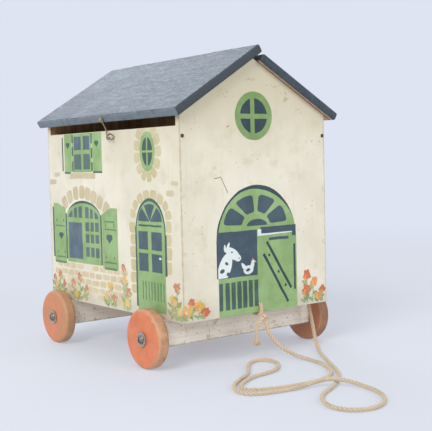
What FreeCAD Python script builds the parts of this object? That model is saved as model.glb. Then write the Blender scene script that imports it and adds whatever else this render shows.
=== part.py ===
# Pull-along toy barn: plywood house on four wheels, with a hinged roof lid and a pull cord.
# Millimetres. X across the gables, Y along the ridge, Z up, origin on the ground under the middle.
# The front gable faces -Y, the lid and its latch are on the -X side.
import FreeCAD
import Part
import math
import os
import Sketcher
from FreeCAD import Placement, Rotation, Vector

doc = FreeCAD.newDocument("ToyBarn")

# Driving dimensions, one row each: name, value, what it measures
dimensions = [
    ("house_width", 204, "outside of the side walls"),
    ("house_length", 282, "outside of the gables"),
    ("gable_thickness", 6.5, "plywood of the two gables"),
    ("wall_thickness", 6.5, "plywood of the two side walls"),
    ("wall_height", 202, "side walls"),
    ("eave_slot", 12.5, "gable corners above the side walls"),
    ("gable_rise", 60.5, "apex above the gable corners"),
    ("apex_offset", -4.5, "apex left of the middle"),
    ("floor_rise", 14, "floor underside above the wall bottom"),
    ("floor_thickness", 8, "floor board"),
    ("floor_fit", 0.2, "floor board to walls and gables"),
    ("lid_thickness", 9.5, "hinged roof panel"),
    ("lid_overhang", 6.5, "lid past the wall face, level"),
    ("ridge_lap", 11, "lid past the apex, along its slope"),
    ("lid_rest_gap", 0.2, "lid above the gable slopes"),
    ("roof_thickness", 9, "fixed roof panel"),
    ("roof_overhang", 10.5, "fixed panel past the wall face, level"),
    ("roof_start", 7.5, "fixed panel's upper end below the apex, along its slope"),
    ("end_overhang", 8.5, "both roof panels past the gables"),
    ("panel_round", 2.2, "worn edges of the roof panels"),
    ("beam_width", 24, "axle beams along Y"),
    ("beam_height", 30, "beam underside to the walls' lower edges"),
    ("beam_reach", 5, "beam ends past the wall faces"),
    ("beam_fit", 0.3, "raised middle of a beam to the side walls"),
    ("beam_round", 1.5, "worn lower edges of the beams"),
    ("axle_rise", 10, "axles above the beam undersides"),
    ("front_axle_inset", 47.5, "front axle from the front gable's face"),
    ("rear_axle_inset", 38.5, "rear axle from the rear gable's face"),
    ("wheel_diameter", 64, "solid wooden disc"),
    ("wheel_thickness", 14, "wheel along its axle"),
    ("wheel_round", 4, "rounded rims"),
    ("wheel_play", 0.3, "wheel to its washers, each side"),
    ("axle_diameter", 6, "plain shank of an axle screw"),
    ("axle_fit", 0.1, "axle to wheel and washers, radial"),
    ("axle_depth", 30, "axle screw inside the beam"),
    ("axle_head", 10.5, "axle screw head diameter"),
    ("axle_head_height", 3.4, "axle screw head"),
    ("slot_width", 1.4, "screwdriver slots"),
    ("slot_depth", 1.4, "screwdriver slots"),
    ("washer_diameter", 16, "steel washers"),
    ("washer_thickness", 1.2, "steel washers"),
    ("hinge_inset", 46.5, "ridge hinges from the panel ends"),
    ("hinge_length", 38, "butt hinge along the ridge"),
    ("leaf_thickness", 1.2, "hinge leaves"),
    ("lid_leaf_width", 9.6, "pin to the lid leaf's edge"),
    ("roof_leaf_width", 16, "pin to the roof leaf's edge"),
    ("leaf_start", 2.8, "pin to the leaf plate, clear of the other knuckles"),
    ("pin_rise", 2.6, "pin above the wood under each leaf"),
    ("pin_diameter", 2, "hinge pins"),
    ("pin_fit", 0.08, "pin to knuckle, radial"),
    ("knuckle_diameter", 4.4, "hinge knuckles"),
    ("knuckle_gap", 0.3, "between knuckles"),
    ("leaf_screw_diameter", 2.4, "hinge screws"),
    ("leaf_screw_length", 7.5, "hinge screws below the leaf"),
    ("leaf_screw_head", 4.4, "hinge screw head diameter"),
    ("leaf_screw_head_height", 1, "hinge screw head"),
    ("leaf_screw_inset", 7, "hinge screws from the ends of the leaf"),
    ("lid_leaf_row", 5.9, "pin to the lid screws"),
    ("roof_leaf_row", 10.5, "pin to the roof screws"),
    ("screw_fit", 0.05, "screws to their holes, radial"),
    ("hook_y", -6, "latch hook along the lid"),
    ("hook_wire", 1.7, "wire of the hook and the eye"),
    ("hook_tip_round", 0.5, "rounded end of the hook's finger"),
    ("hook_loop", 2.7, "middle of the hook's loop from its pivot"),
    ("hook_loop_wire", 1.8, "wire of the hook's loop, hammered a little wider"),
    ("hook_stand", 1.3, "middle of the loop off the lid's edge"),
    ("hook_leg", 3.4, "middle of the hanging leg off the wall"),
    ("hook_play", 0.3, "hook's loop to its screw head"),
    ("hook_drop", 23, "pivot to the hook's lowest bend"),
    ("hook_finger", 6.8, "finger of the hook along the wall"),
    ("hook_finger_rise", 3.2, "upturn of the finger"),
    ("hook_screw_diameter", 3, "pivot screw of the hook"),
    ("hook_screw_length", 14, "pivot screw inside the lid"),
    ("hook_screw_head", 5.6, "pivot screw head diameter"),
    ("hook_screw_head_height", 1.8, "pivot screw head"),
    ("eye_ring", 3.3, "middle of the eye's ring"),
    ("eye_tilt", 22, "lean of the ring, degrees"),
    ("eye_shank", 5.5, "eye inside the wall"),
    ("latch_swing", 16, "hook turn that puts its finger in the eye, degrees"),
    ("nail_shank", 1.8, "square nails"),
    ("nail_length", 22, "nails below the head"),
    ("nail_head", 4, "nail heads, diameter"),
    ("nail_head_height", 0.6, "nail heads"),
    ("nail_fit", 0.1, "nails to their holes, each side"),
    ("gable_nail_inset", 10.5, "first and last gable nails from the walls' edges"),
    ("gable_nail_count", 4, "nails up each gable edge"),
    ("floor_nail_inset", 63, "first and last floor nails from the gable faces"),
    ("floor_nail_count", 3, "nails along each wall"),
    ("roof_nail_first", 31, "first roof nail below the apex"),
    ("roof_nail_last", 15, "last roof nail above the gable corner"),
    ("roof_nail_count", 3, "nails down each gable slope"),
    ("beam_screw_diameter", 4, "screws from the floor into the beams"),
    ("beam_screw_length", 30, "beam screws below the head"),
    ("beam_screw_head", 8, "beam screw head diameter"),
    ("beam_screw_head_height", 2, "beam screw head"),
    ("beam_screw_inset", 47, "beam screws from the wall faces"),
    ("cord_diameter", 4.5, "twisted cotton cord"),
    ("cord_hole", 5.6, "cord holes in the gable and the floor"),
    ("cord_hole_rise", 8.5, "gable cord hole above the gable's lower edge"),
    ("cord_exit_side", 13.5, "floor cord hole from the right wall's face"),
    ("cord_exit_inset", 19.5, "floor cord hole from the front gable's face"),
    ("cord_loop_gap", 0.45, "cord loop to the gable"),
    ("cord_loop_bend", 3.4, "bends of the cord loop"),
    ("knot_ring", 3.2, "middle of the knots' turns"),
    ("knot_turn", 2.7, "radius of the knots' turns"),
    ("knot_drop", 3, "knot in front of the loop and below it"),
    ("fray_radius", 4.6, "frayed end of the cord's tail"),
    ("fray_length", 6.5, "frayed end of the cord's tail"),
]

sheet = doc.addObject("Spreadsheet::Sheet", "Dims")
for row, (alias, number, note) in enumerate(dimensions, start=1):
    sheet.set(f"A{row}", alias)
    sheet.set(f"B{row}", str(number))
    sheet.set(f"C{row}", note)
    sheet.setAlias(f"B{row}", alias)
doc.recompute()
size = {alias: float(sheet.get(alias)) for alias, number, note in dimensions}


def value(formula):
    result = sheet.evalExpression(formula)
    return float(getattr(result, "Value", result))


# Levels and reaches, as formulas on the sheet
half_width = "(Dims.house_width / 2)"
half_length = "(Dims.house_length / 2)"
beam_bottom = "(Dims.wheel_diameter / 2 - Dims.axle_rise)"
wall_bottom = f"({beam_bottom} + Dims.beam_height)"
wall_top = f"({wall_bottom} + Dims.wall_height)"
gable_corner = f"({wall_top} + Dims.eave_slot)"
gable_apex = f"({gable_corner} + Dims.gable_rise)"
floor_bottom = f"({wall_bottom} + Dims.floor_rise)"
floor_top = f"({floor_bottom} + Dims.floor_thickness)"
lid_run = f"({half_width} + Dims.apex_offset)"
roof_run = f"({half_width} - Dims.apex_offset)"
lid_pitch = f"atan2(Dims.gable_rise; {lid_run})"
roof_pitch = f"atan2(Dims.gable_rise; {roof_run})"
beam_end = f"({half_width} + Dims.beam_reach)"
lid_eave = f"(({lid_run} + Dims.lid_overhang) / cos({lid_pitch}))"
roof_eave = f"(({roof_run} + Dims.roof_overhang) / cos({roof_pitch}))"

wall_face = value(half_width)
gable_face = value(half_length)
axle_height = size["wheel_diameter"] / 2
axle_y = {"front": size["front_axle_inset"] - gable_face, "rear": gable_face - size["rear_axle_inset"]}
axis_y = Vector(0, 1, 0)
down = Vector(0, 0, -1)
apex = Vector(size["apex_offset"], 0, value(gable_apex))
lid_turn = Rotation(axis_y, -value(lid_pitch))
roof_turn = Rotation(axis_y, value(roof_pitch))
lid_up = lid_turn.multVec(Vector(1, 0, 0))
lid_out = lid_turn.multVec(Vector(0, 0, 1))
roof_down = roof_turn.multVec(Vector(1, 0, 0))
roof_out = roof_turn.multVec(Vector(0, 0, 1))

nodes = []


def keep(thing, label):
    thing.Label = label
    nodes.append(thing)
    return thing


def bind(thing, **formulas):
    for prop, formula in formulas.items():
        thing.setExpression(prop, formula)
    return thing


def plane_of(body, role):
    return [item for item in body.Origin.OriginFeatures if item.Role == role][0]


def sketch_in(body, role):
    sketch = body.newObject("Sketcher::SketchObject", body.Name + "Sketch")
    sketch.AttachmentSupport = [(plane_of(body, role), "")]
    sketch.MapMode = "FlatFace"
    return sketch


# Closed outline whose corners are pairs of formulas on the sheet
def outline(sketch, corners):
    count = len(corners)
    first = sketch.GeometryCount
    start = [Vector(math.cos(2 * math.pi * k / count), math.sin(2 * math.pi * k / count), 0) * 50
             for k in range(count)]
    for k in range(count):
        sketch.addGeometry(Part.LineSegment(start[k], start[(k + 1) % count]))
    for k in range(count):
        sketch.addConstraint(Sketcher.Constraint("Coincident", first + k, 2, first + (k + 1) % count, 1))
    for k, (across, along) in enumerate(corners):
        for kind, formula in (("DistanceX", across), ("DistanceY", along)):
            index = sketch.addConstraint(Sketcher.Constraint(kind, -1, 1, first + k, 1, 1.0))
            name = f"{kind}{first + k}"
            sketch.renameConstraint(index, name)
            sketch.setExpression("Constraints." + name, formula)


def pad_of(body, sketch, length, midplane=False):
    pad = body.newObject("PartDesign::Pad", body.Name + "Pad")
    pad.Profile = sketch
    pad.setExpression("Length", length)
    pad.Midplane = midplane
    return pad


def revolution_of(body, sketch):
    turn = body.newObject("PartDesign::Revolution", body.Name + "Turn")
    turn.Profile = sketch
    turn.ReferenceAxis = (plane_of(body, "X_Axis"), [""])
    turn.Angle = 360
    return turn


def cylinder(radius, height, base, along):
    tube = doc.addObject("Part::Cylinder", "Cylinder")
    bind(tube, Radius=radius, Height=height)
    tube.Placement = Placement(base, Rotation(Vector(0, 0, 1), along))
    return tube


def cut(base, tools):
    shape = doc.addObject("Part::Cut", "Cut")
    shape.Base = base
    if len(tools) == 1:
        shape.Tool = tools[0]
    else:
        shape.Tool = compound(tools)
    return shape


def fuse(pieces):
    shape = doc.addObject("Part::MultiFuse", "Fuse")
    shape.Shapes = pieces
    return shape


def compound(pieces):
    group = doc.addObject("Part::Compound", "Group")
    group.Links = pieces
    return group


def feature(shape, label):
    thing = doc.addObject("Part::Feature", label)
    thing.Shape = shape
    thing.Label = label
    return thing


# Straight runs joined by the largest even bends, as one wire
def bent_wire(points, share=0.45):
    edges = []
    radii = []
    last = points[0]
    for k in range(1, len(points) - 1):
        inward = points[k] - points[k - 1]
        onward = points[k + 1] - points[k]
        reach = share * min(inward.Length, onward.Length)
        turn = inward.getAngle(onward)
        radii.append(reach / math.tan(turn / 2))
        inward.normalize()
        onward.normalize()
        begin = points[k] - inward * reach
        end = points[k] + onward * reach
        side = onward - inward
        side.normalize()
        middle = points[k] + side * (math.hypot(radii[-1], reach) - radii[-1])
        edges.append(Part.LineSegment(last, begin).toShape())
        edges.append(Part.Arc(begin, middle, end).toShape())
        last = end
    edges.append(Part.LineSegment(last, points[-1]).toShape())
    return Part.Wire(edges), radii


def tube_along(wire, radius):
    first = wire.Edges[0]
    circle = Part.Circle(first.valueAt(first.FirstParameter), first.tangentAt(first.FirstParameter), radius)
    return wire.makePipeShell([Part.Wire([circle.toShape()])], True, False)


def torus(ring, wire, middle, along):
    loop = doc.addObject("Part::Torus", "Torus")
    bind(loop, Radius1=ring, Radius2=wire)
    loop.Placement = Placement(middle, Rotation(Vector(0, 0, 1), along))
    return loop


def ball(radius, middle):
    sphere = doc.addObject("Part::Sphere", "Ball")
    bind(sphere, Radius=radius)
    sphere.Placement.Base = middle
    return sphere


# Domed head with a flat seat, as the cap of a larger ball
def dome(kind, seat, outward):
    wide = f"(Dims.{kind}_head / 2)"
    tall = f"Dims.{kind}_head_height"
    radius = f"(({wide} ^ 2 + {tall} ^ 2) / (2 * {tall}))"
    cap = doc.addObject("Part::Sphere", "Dome")
    bind(cap, Radius=radius, Angle1=f"asin(({radius} - {tall}) / {radius})")
    sink = value(radius) - value(tall)
    cap.Placement = Placement(seat - outward * sink, Rotation(Vector(0, 0, 1), outward))
    return cap


# Round-headed screw along "into": head on the surface at "seat"
def screw(kind, seat, into, length):
    shank = cylinder(f"Dims.{kind}_diameter / 2", length, seat, into)
    return fuse([shank, dome(kind, seat, into * -1)])


def screw_hole(kind, seat, into, length):
    return cylinder(f"Dims.{kind}_diameter / 2 + Dims.screw_fit", length, seat, into)


def square_bar(side, length, seat, into):
    bar = doc.addObject("Part::Box", "Bar")
    bind(bar, Length=side, Width=side, Height=length)
    turned = Rotation(Vector(0, 0, 1), into)
    half = value(side) / 2
    bar.Placement = Placement(seat - turned.multVec(Vector(half, half, 0)), turned)
    return bar


def nail(seat, into):
    shank = square_bar("Dims.nail_shank", "Dims.nail_length", seat, into)
    head = cylinder("Dims.nail_head / 2", "Dims.nail_head_height", seat, into * -1)
    return fuse([shank, head])


def nail_hole(seat, into):
    return square_bar("Dims.nail_shank + 2 * Dims.nail_fit", "Dims.nail_length + Dims.nail_fit", seat, into)


# Nail places: gables into the walls' ends, walls into the floor, fixed panel into the gables
def even_row(first, last, count):
    return [first + (last - first) * k / (count - 1) for k in range(int(count))]


def gable_nail_seats(front):
    middle = wall_face - size["wall_thickness"] / 2
    inset = size["gable_nail_inset"]
    heights = even_row(value(wall_bottom) + inset, value(wall_top) - inset, size["gable_nail_count"])
    return [Vector(side * middle, front * gable_face, height) for side in (-1, 1) for height in heights]


def floor_nail_seats(side):
    reach = gable_face - size["floor_nail_inset"]
    height = value(floor_bottom) + size["floor_thickness"] / 2
    return [Vector(side * wall_face, along, height) for along in even_row(-reach, reach, size["floor_nail_count"])]


def roof_nail_seats(front):
    across = axis_y * (front * (gable_face - size["gable_thickness"] / 2))
    slope = value(f"{roof_run} / cos({roof_pitch})")
    row = even_row(size["roof_nail_first"], slope - size["roof_nail_last"], size["roof_nail_count"])
    return [apex + roof_down * along + roof_out * size["roof_thickness"] + across for along in row]


# Gables: five-sided boards, the front one with the cord hole
gable_corners = [
    (f"-{half_width}", wall_bottom),
    (half_width, wall_bottom),
    (half_width, gable_corner),
    ("Dims.apex_offset", gable_apex),
    (f"-{half_width}", gable_corner),
]
cord_hole_height = value(wall_bottom) + size["cord_hole_rise"]
for label, front in (("front_gable", -1), ("rear_gable", 1)):
    body = doc.addObject("PartDesign::Body", label + "_board")
    sketch = sketch_in(body, "XZ_Plane")
    outline(sketch, gable_corners)
    pad_of(body, sketch, "Dims.gable_thickness", midplane=True)
    body.setExpression(".Placement.Base.y", f"{front} * (Dims.house_length - Dims.gable_thickness) / 2")
    inward = axis_y * -front
    holes = [nail_hole(seat, inward) for seat in gable_nail_seats(front)]
    holes += [nail_hole(seat, roof_out * -1) for seat in roof_nail_seats(front)]
    if front < 0:
        outside = Vector(0, -gable_face, cord_hole_height)
        holes.append(cylinder("Dims.cord_hole / 2", "Dims.gable_thickness", outside, inward))
    keep(cut(body, holes), label)
    keep(compound([nail(seat, inward) for seat in gable_nail_seats(front)]), label + "_nails")

# Latch: wire hook that hangs from the lid's edge, and a screw eye that its finger swings into
edge_middle = apex - lid_up * value(lid_eave) + lid_out * (size["lid_rest_gap"] + size["lid_thickness"] / 2)
edge_middle.y = size["hook_y"]
pivot = edge_middle - lid_up * size["hook_stand"]
head_stand = "(Dims.hook_stand + Dims.hook_loop_wire / 2 + Dims.hook_play)"
hook_screw_seat = edge_middle - lid_up * value(head_stand)
hook_screw_reach = f"Dims.hook_screw_length + {head_stand}"
keep(screw("hook_screw", hook_screw_seat, lid_up, hook_screw_reach), "hook_screw")
leg_x = -wall_face - size["hook_leg"]
bend = pivot - lid_out * ((pivot.x - leg_x) / lid_out.x)
corner = Vector(leg_x, size["hook_y"], pivot.z - size["hook_drop"])
tip = corner + Vector(0, -size["hook_finger"], size["hook_finger_rise"])
hook_line, hook_bends = bent_wire([pivot - lid_out * size["hook_loop"], bend, corner, tip])
hook_tube = tube_along(hook_line, size["hook_wire"] / 2)
tip_edge = min(hook_tube.Edges, key=lambda edge: (edge.CenterOfMass - tip).Length)
hook_arm = feature(hook_tube.makeFillet(size["hook_tip_round"], [tip_edge]), "hook_arm")
hook_loop = torus("Dims.hook_loop", "Dims.hook_loop_wire / 2", pivot, lid_up)
keep(fuse([hook_loop, hook_arm]), "latch_hook")

swing = Rotation(lid_up * -1, size["latch_swing"])
latched = pivot + swing.multVec((corner + tip * 2) / 3 - pivot)
ring_axis = Rotation(Vector(1, 0, 0), -size["eye_tilt"]).multVec(axis_y * -1)
ring = torus("Dims.eye_ring", "Dims.hook_wire / 2", latched, ring_axis)
ring_side = latched + Vector(size["eye_ring"], 0, 0)
eye_reach = f"Dims.eye_shank + Dims.hook_leg - Dims.eye_ring + {leg_x - latched.x}"
shank = cylinder("Dims.hook_wire / 2", eye_reach, ring_side, Vector(1, 0, 0))
keep(fuse([ring, shank]), "screw_eye")
eye_seat = Vector(-wall_face, latched.y, latched.z)

# Side walls stand between the gables and stop below the eaves
for label, side in (("left_wall", -1), ("right_wall", 1)):
    board = doc.addObject("Part::Box", label + "_board")
    bind(board, Length="Dims.wall_thickness", Height="Dims.wall_height",
         Width="Dims.house_length - 2 * Dims.gable_thickness")
    middle = f"{side} * (Dims.house_width - Dims.wall_thickness) / 2"
    board.setExpression(".Placement.Base.x", f"{middle} - Dims.wall_thickness / 2")
    board.setExpression(".Placement.Base.y", f"Dims.gable_thickness - {half_length}")
    board.setExpression(".Placement.Base.z", wall_bottom)
    holes = [nail_hole(seat, Vector(-side, 0, 0)) for seat in floor_nail_seats(side)]
    for front in (-1, 1):
        holes += [nail_hole(seat, axis_y * -front) for seat in gable_nail_seats(front) if seat.x * side > 0]
    if side < 0:
        holes.append(cylinder("Dims.hook_wire / 2 + Dims.screw_fit", "Dims.eye_shank", eye_seat, Vector(1, 0, 0)))
    keep(cut(board, holes), label)

# Floor board, with a hole where the cord's other end comes up
board = doc.addObject("Part::Box", "floor_plate")
bind(board, Length="Dims.house_width - 2 * Dims.wall_thickness - 2 * Dims.floor_fit",
     Width="Dims.house_length - 2 * Dims.gable_thickness - 2 * Dims.floor_fit", Height="Dims.floor_thickness")
board.setExpression(".Placement.Base.x", f"Dims.wall_thickness + Dims.floor_fit - {half_width}")
board.setExpression(".Placement.Base.y", f"Dims.gable_thickness + Dims.floor_fit - {half_length}")
board.setExpression(".Placement.Base.z", floor_bottom)
beam_screw_x = wall_face - size["beam_screw_inset"]
beam_screw_seats = {end: [Vector(side * beam_screw_x, axle_y[end], value(floor_top)) for side in (-1, 1)]
                    for end in axle_y}
all_seats = beam_screw_seats["front"] + beam_screw_seats["rear"]
cord_exit = Vector(wall_face - size["cord_exit_side"], size["cord_exit_inset"] - gable_face, value(floor_top))
holes = [cylinder("Dims.cord_hole / 2", "Dims.floor_thickness", cord_exit, down)]
holes += [screw_hole("beam_screw", seat, down, "Dims.beam_screw_length") for seat in all_seats]
floor_nails = []
for side in (-1, 1):
    holes += [nail_hole(seat, Vector(-side, 0, 0)) for seat in floor_nail_seats(side)]
    floor_nails += [nail(seat, Vector(-side, 0, 0)) for seat in floor_nail_seats(side)]
keep(cut(board, holes), "floor_board")
keep(compound(floor_nails), "floor_nails")
beam_screws = [screw("beam_screw", seat, down, "Dims.beam_screw_length") for seat in all_seats]
keep(compound(beam_screws), "beam_screws")

# Axle beams: raised middle under the floor, shoulders under the side walls
shoulder = f"({half_width} - Dims.wall_thickness - Dims.beam_fit)"
beam_corners = [
    (f"-{beam_end}", beam_bottom),
    (beam_end, beam_bottom),
    (beam_end, wall_bottom),
    (shoulder, wall_bottom),
    (shoulder, floor_bottom),
    (f"-{shoulder}", floor_bottom),
    (f"-{shoulder}", wall_bottom),
    (f"-{beam_end}", wall_bottom),
]
beam_half = value(beam_end)
for end in axle_y:
    body = doc.addObject("PartDesign::Body", end + "_beam_board")
    sketch = sketch_in(body, "XZ_Plane")
    outline(sketch, beam_corners)
    pad = pad_of(body, sketch, "Dims.beam_width", midplane=True)
    body.Placement.Base.y = axle_y[end]
    doc.recompute()
    low = [f"Edge{k + 1}" for k, edge in enumerate(pad.Shape.Edges)
           if edge.BoundBox.ZMax < value(beam_bottom) + 0.01 and edge.BoundBox.XLength > 1]
    worn = body.newObject("PartDesign::Fillet", end + "_beam_worn")
    worn.Base = (pad, low)
    worn.setExpression("Radius", "Dims.beam_round")
    holes = [screw_hole("beam_screw", seat, down, "Dims.beam_screw_length") for seat in beam_screw_seats[end]]
    for side in (-1, 1):
        seat = Vector(side * beam_half, axle_y[end], axle_height)
        holes.append(screw_hole("axle", seat, Vector(-side, 0, 0), "Dims.axle_depth"))
    keep(cut(body, holes), end + "_beam")

# Wheels, each on its own round-headed screw between two washers
axle_screws = []
inner_washers = []
outer_washers = []
bore = "(Dims.axle_diameter / 2 + Dims.axle_fit)"
wheel_space = "(2 * Dims.washer_thickness + 2 * Dims.wheel_play + Dims.wheel_thickness)"
wheel_start = beam_half + size["washer_thickness"] + size["wheel_play"]
head_seat = beam_half + value(wheel_space)
for end in axle_y:
    for hand, side in (("left", -1), ("right", 1)):
        label = f"{end}_{hand}_wheel"
        body = doc.addObject("PartDesign::Body", label)
        sketch = sketch_in(body, "XY_Plane")
        outline(sketch, [("0", bore), ("Dims.wheel_thickness", bore),
                         ("Dims.wheel_thickness", "Dims.wheel_diameter / 2"), ("0", "Dims.wheel_diameter / 2")])
        turn = revolution_of(body, sketch)
        doc.recompute()
        rims = [f"Edge{k + 1}" for k, edge in enumerate(turn.Shape.Edges)
                if edge.Curve.TypeId == "Part::GeomCircle" and edge.Curve.Radius > axle_height - 0.1]
        soft = body.newObject("PartDesign::Fillet", label + "_rim")
        soft.Base = (turn, rims)
        soft.setExpression("Radius", "Dims.wheel_round")
        outward = Vector(side, 0, 0)
        hub = Vector(0, axle_y[end], axle_height)
        body.Placement = Placement(hub + outward * wheel_start, Rotation(Vector(0, 0, 1), 0 if side > 0 else 180))
        keep(body, label)

        seat = hub + outward * head_seat
        pin = screw("axle", seat, outward * -1, f"Dims.axle_depth + {wheel_space}")
        slot = doc.addObject("Part::Box", "Slot")
        bind(slot, Length="Dims.slot_depth", Width="Dims.slot_width", Height="Dims.axle_head")
        slot_start = size["axle_head_height"] - (size["slot_depth"] if side > 0 else 0)
        slot.Placement.Base = seat + outward * slot_start - Vector(0, size["slot_width"], size["axle_head"]) / 2
        axle_screws.append(cut(pin, [slot]))
        for washers, offset in ((inner_washers, beam_half), (outer_washers, head_seat - size["washer_thickness"])):
            disc = cylinder("Dims.washer_diameter / 2", "Dims.washer_thickness", hub + outward * offset, outward)
            hole = cylinder(bore, "Dims.washer_thickness", hub + outward * offset, outward)
            washers.append(cut(disc, [hole]))
keep(compound(axle_screws), "axle_screws")
keep(compound(inner_washers), "inner_washers")
keep(compound(outer_washers), "outer_washers")

# Ridge hinges: pin parallel to the ridge, the same rise above the lid's end and the fixed panel
lid_end = apex + lid_out * size["lid_rest_gap"] + lid_up * size["ridge_lap"]
roof_face = apex + roof_out * size["roof_thickness"]
lid_reach = lid_up.dot(lid_end) + size["pin_rise"]
roof_reach = roof_out.dot(roof_face) + size["pin_rise"]
spread = lid_up.x * roof_out.z - lid_up.z * roof_out.x
pin_x = (lid_reach * roof_out.z - roof_reach * lid_up.z) / spread
pin_z = (roof_reach * lid_up.x - lid_reach * roof_out.x) / spread
lid_leaf_turn = Rotation(lid_out, axis_y * -1, lid_up, "XZY")
roof_leaf_turn = Rotation(roof_down, axis_y, roof_out, "XZY")
knuckle_length = "(Dims.hinge_length - 4 * Dims.knuckle_gap) / 5"
knuckle_pitch = (size["hinge_length"] + size["knuckle_gap"]) / 5
screw_spread = size["hinge_length"] / 2 - size["leaf_screw_inset"]


# One leaf about its pin: plate on the wood, and every second of five knuckles
def hinge_leaf(width, row, knuckles):
    plate = doc.addObject("Part::Box", "Plate")
    bind(plate, Length=f"Dims.{width} - Dims.leaf_start", Width="Dims.hinge_length", Height="Dims.leaf_thickness")
    plate.Placement.Base = Vector(size["leaf_start"], -size["hinge_length"] / 2, -size["pin_rise"])
    solids = [plate]
    for k in knuckles:
        start = k * knuckle_pitch - size["hinge_length"] / 2
        web = doc.addObject("Part::Box", "Web")
        bind(web, Length="Dims.leaf_start", Width=knuckle_length, Height="Dims.leaf_thickness")
        web.Placement.Base = Vector(0, start, -size["pin_rise"])
        solids.append(web)
        solids.append(cylinder("Dims.knuckle_diameter / 2", knuckle_length, Vector(0, start, 0), axis_y))
    middle = Vector(0, -size["hinge_length"] / 2, 0)
    holes = [cylinder("Dims.pin_diameter / 2 + Dims.pin_fit", "Dims.hinge_length", middle, axis_y)]
    for side in (-1, 1):
        place = Vector(size[row], side * screw_spread, size["leaf_thickness"] - size["pin_rise"])
        holes.append(screw_hole("leaf_screw", place, down, "Dims.leaf_thickness"))
    return cut(fuse(solids), holes)


hinge_y = gable_face + size["end_overhang"] - size["hinge_inset"] - size["hinge_length"] / 2
lid_leaf_seats = []
roof_leaf_seats = []
for end, front in (("front", -1), ("rear", 1)):
    pin_middle = Vector(pin_x, front * hinge_y, pin_z)
    lid_leaf = hinge_leaf("lid_leaf_width", "lid_leaf_row", (1, 3))
    lid_leaf.Placement = Placement(pin_middle, lid_leaf_turn)
    keep(lid_leaf, end + "_hinge_lid_leaf")
    roof_leaf = hinge_leaf("roof_leaf_width", "roof_leaf_row", (0, 2, 4))
    roof_leaf.Placement = Placement(pin_middle, roof_leaf_turn)
    keep(roof_leaf, end + "_hinge_roof_leaf")
    pin_start = pin_middle - axis_y * (size["hinge_length"] / 2)
    keep(cylinder("Dims.pin_diameter / 2", "Dims.hinge_length", pin_start, axis_y), end + "_hinge_pin")
    lift = size["leaf_thickness"] - size["pin_rise"]
    for side in (-1, 1):
        shift = axis_y * (side * screw_spread)
        lid_leaf_seats.append(pin_middle + lid_out * size["lid_leaf_row"] + lid_up * lift + shift)
        roof_leaf_seats.append(pin_middle + roof_down * size["roof_leaf_row"] + roof_out * lift + shift)
leaf_screw_reach = "Dims.leaf_thickness + Dims.leaf_screw_length"
lid_screws = [screw("leaf_screw", seat, lid_up * -1, leaf_screw_reach) for seat in lid_leaf_seats]
roof_screws = [screw("leaf_screw", seat, roof_out * -1, leaf_screw_reach) for seat in roof_leaf_seats]
keep(compound(lid_screws), "lid_leaf_screws")
keep(compound(roof_screws), "roof_leaf_screws")


# Roof panels: rounded boards laid on the gable slopes
def roof_board(label, near, far, thickness):
    body = doc.addObject("PartDesign::Body", label + "_board")
    sketch = sketch_in(body, "XZ_Plane")
    outline(sketch, [(near, "0"), (far, "0"), (far, thickness), (near, thickness)])
    pad = pad_of(body, sketch, "Dims.house_length + 2 * Dims.end_overhang", midplane=True)
    doc.recompute()
    worn = body.newObject("PartDesign::Fillet", label + "_worn")
    worn.Base = (pad, [f"Edge{k + 1}" for k in range(len(pad.Shape.Edges))])
    worn.setExpression("Radius", "Dims.panel_round")
    return body


lid_body = roof_board("lid", f"-{lid_eave}", "Dims.ridge_lap", "Dims.lid_thickness")
lid_body.Placement = Placement(apex + lid_out * size["lid_rest_gap"], lid_turn)
roof_body = roof_board("roof", "Dims.roof_start", roof_eave, "Dims.roof_thickness")
roof_body.Placement = Placement(apex, roof_turn)
lid_holes = [screw_hole("leaf_screw", seat, lid_up * -1, leaf_screw_reach) for seat in lid_leaf_seats]
lid_holes.append(screw_hole("hook_screw", hook_screw_seat, lid_up, hook_screw_reach))
keep(cut(lid_body, lid_holes), "roof_lid")
roof_holes = [screw_hole("leaf_screw", seat, roof_out * -1, leaf_screw_reach) for seat in roof_leaf_seats]
roof_nails = []
for front in (-1, 1):
    roof_holes += [nail_hole(seat, roof_out * -1) for seat in roof_nail_seats(front)]
    roof_nails += [nail(seat, roof_out * -1) for seat in roof_nail_seats(front)]
keep(cut(roof_body, roof_holes), "fixed_roof_panel")
keep(compound(roof_nails), "roof_nails")

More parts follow.
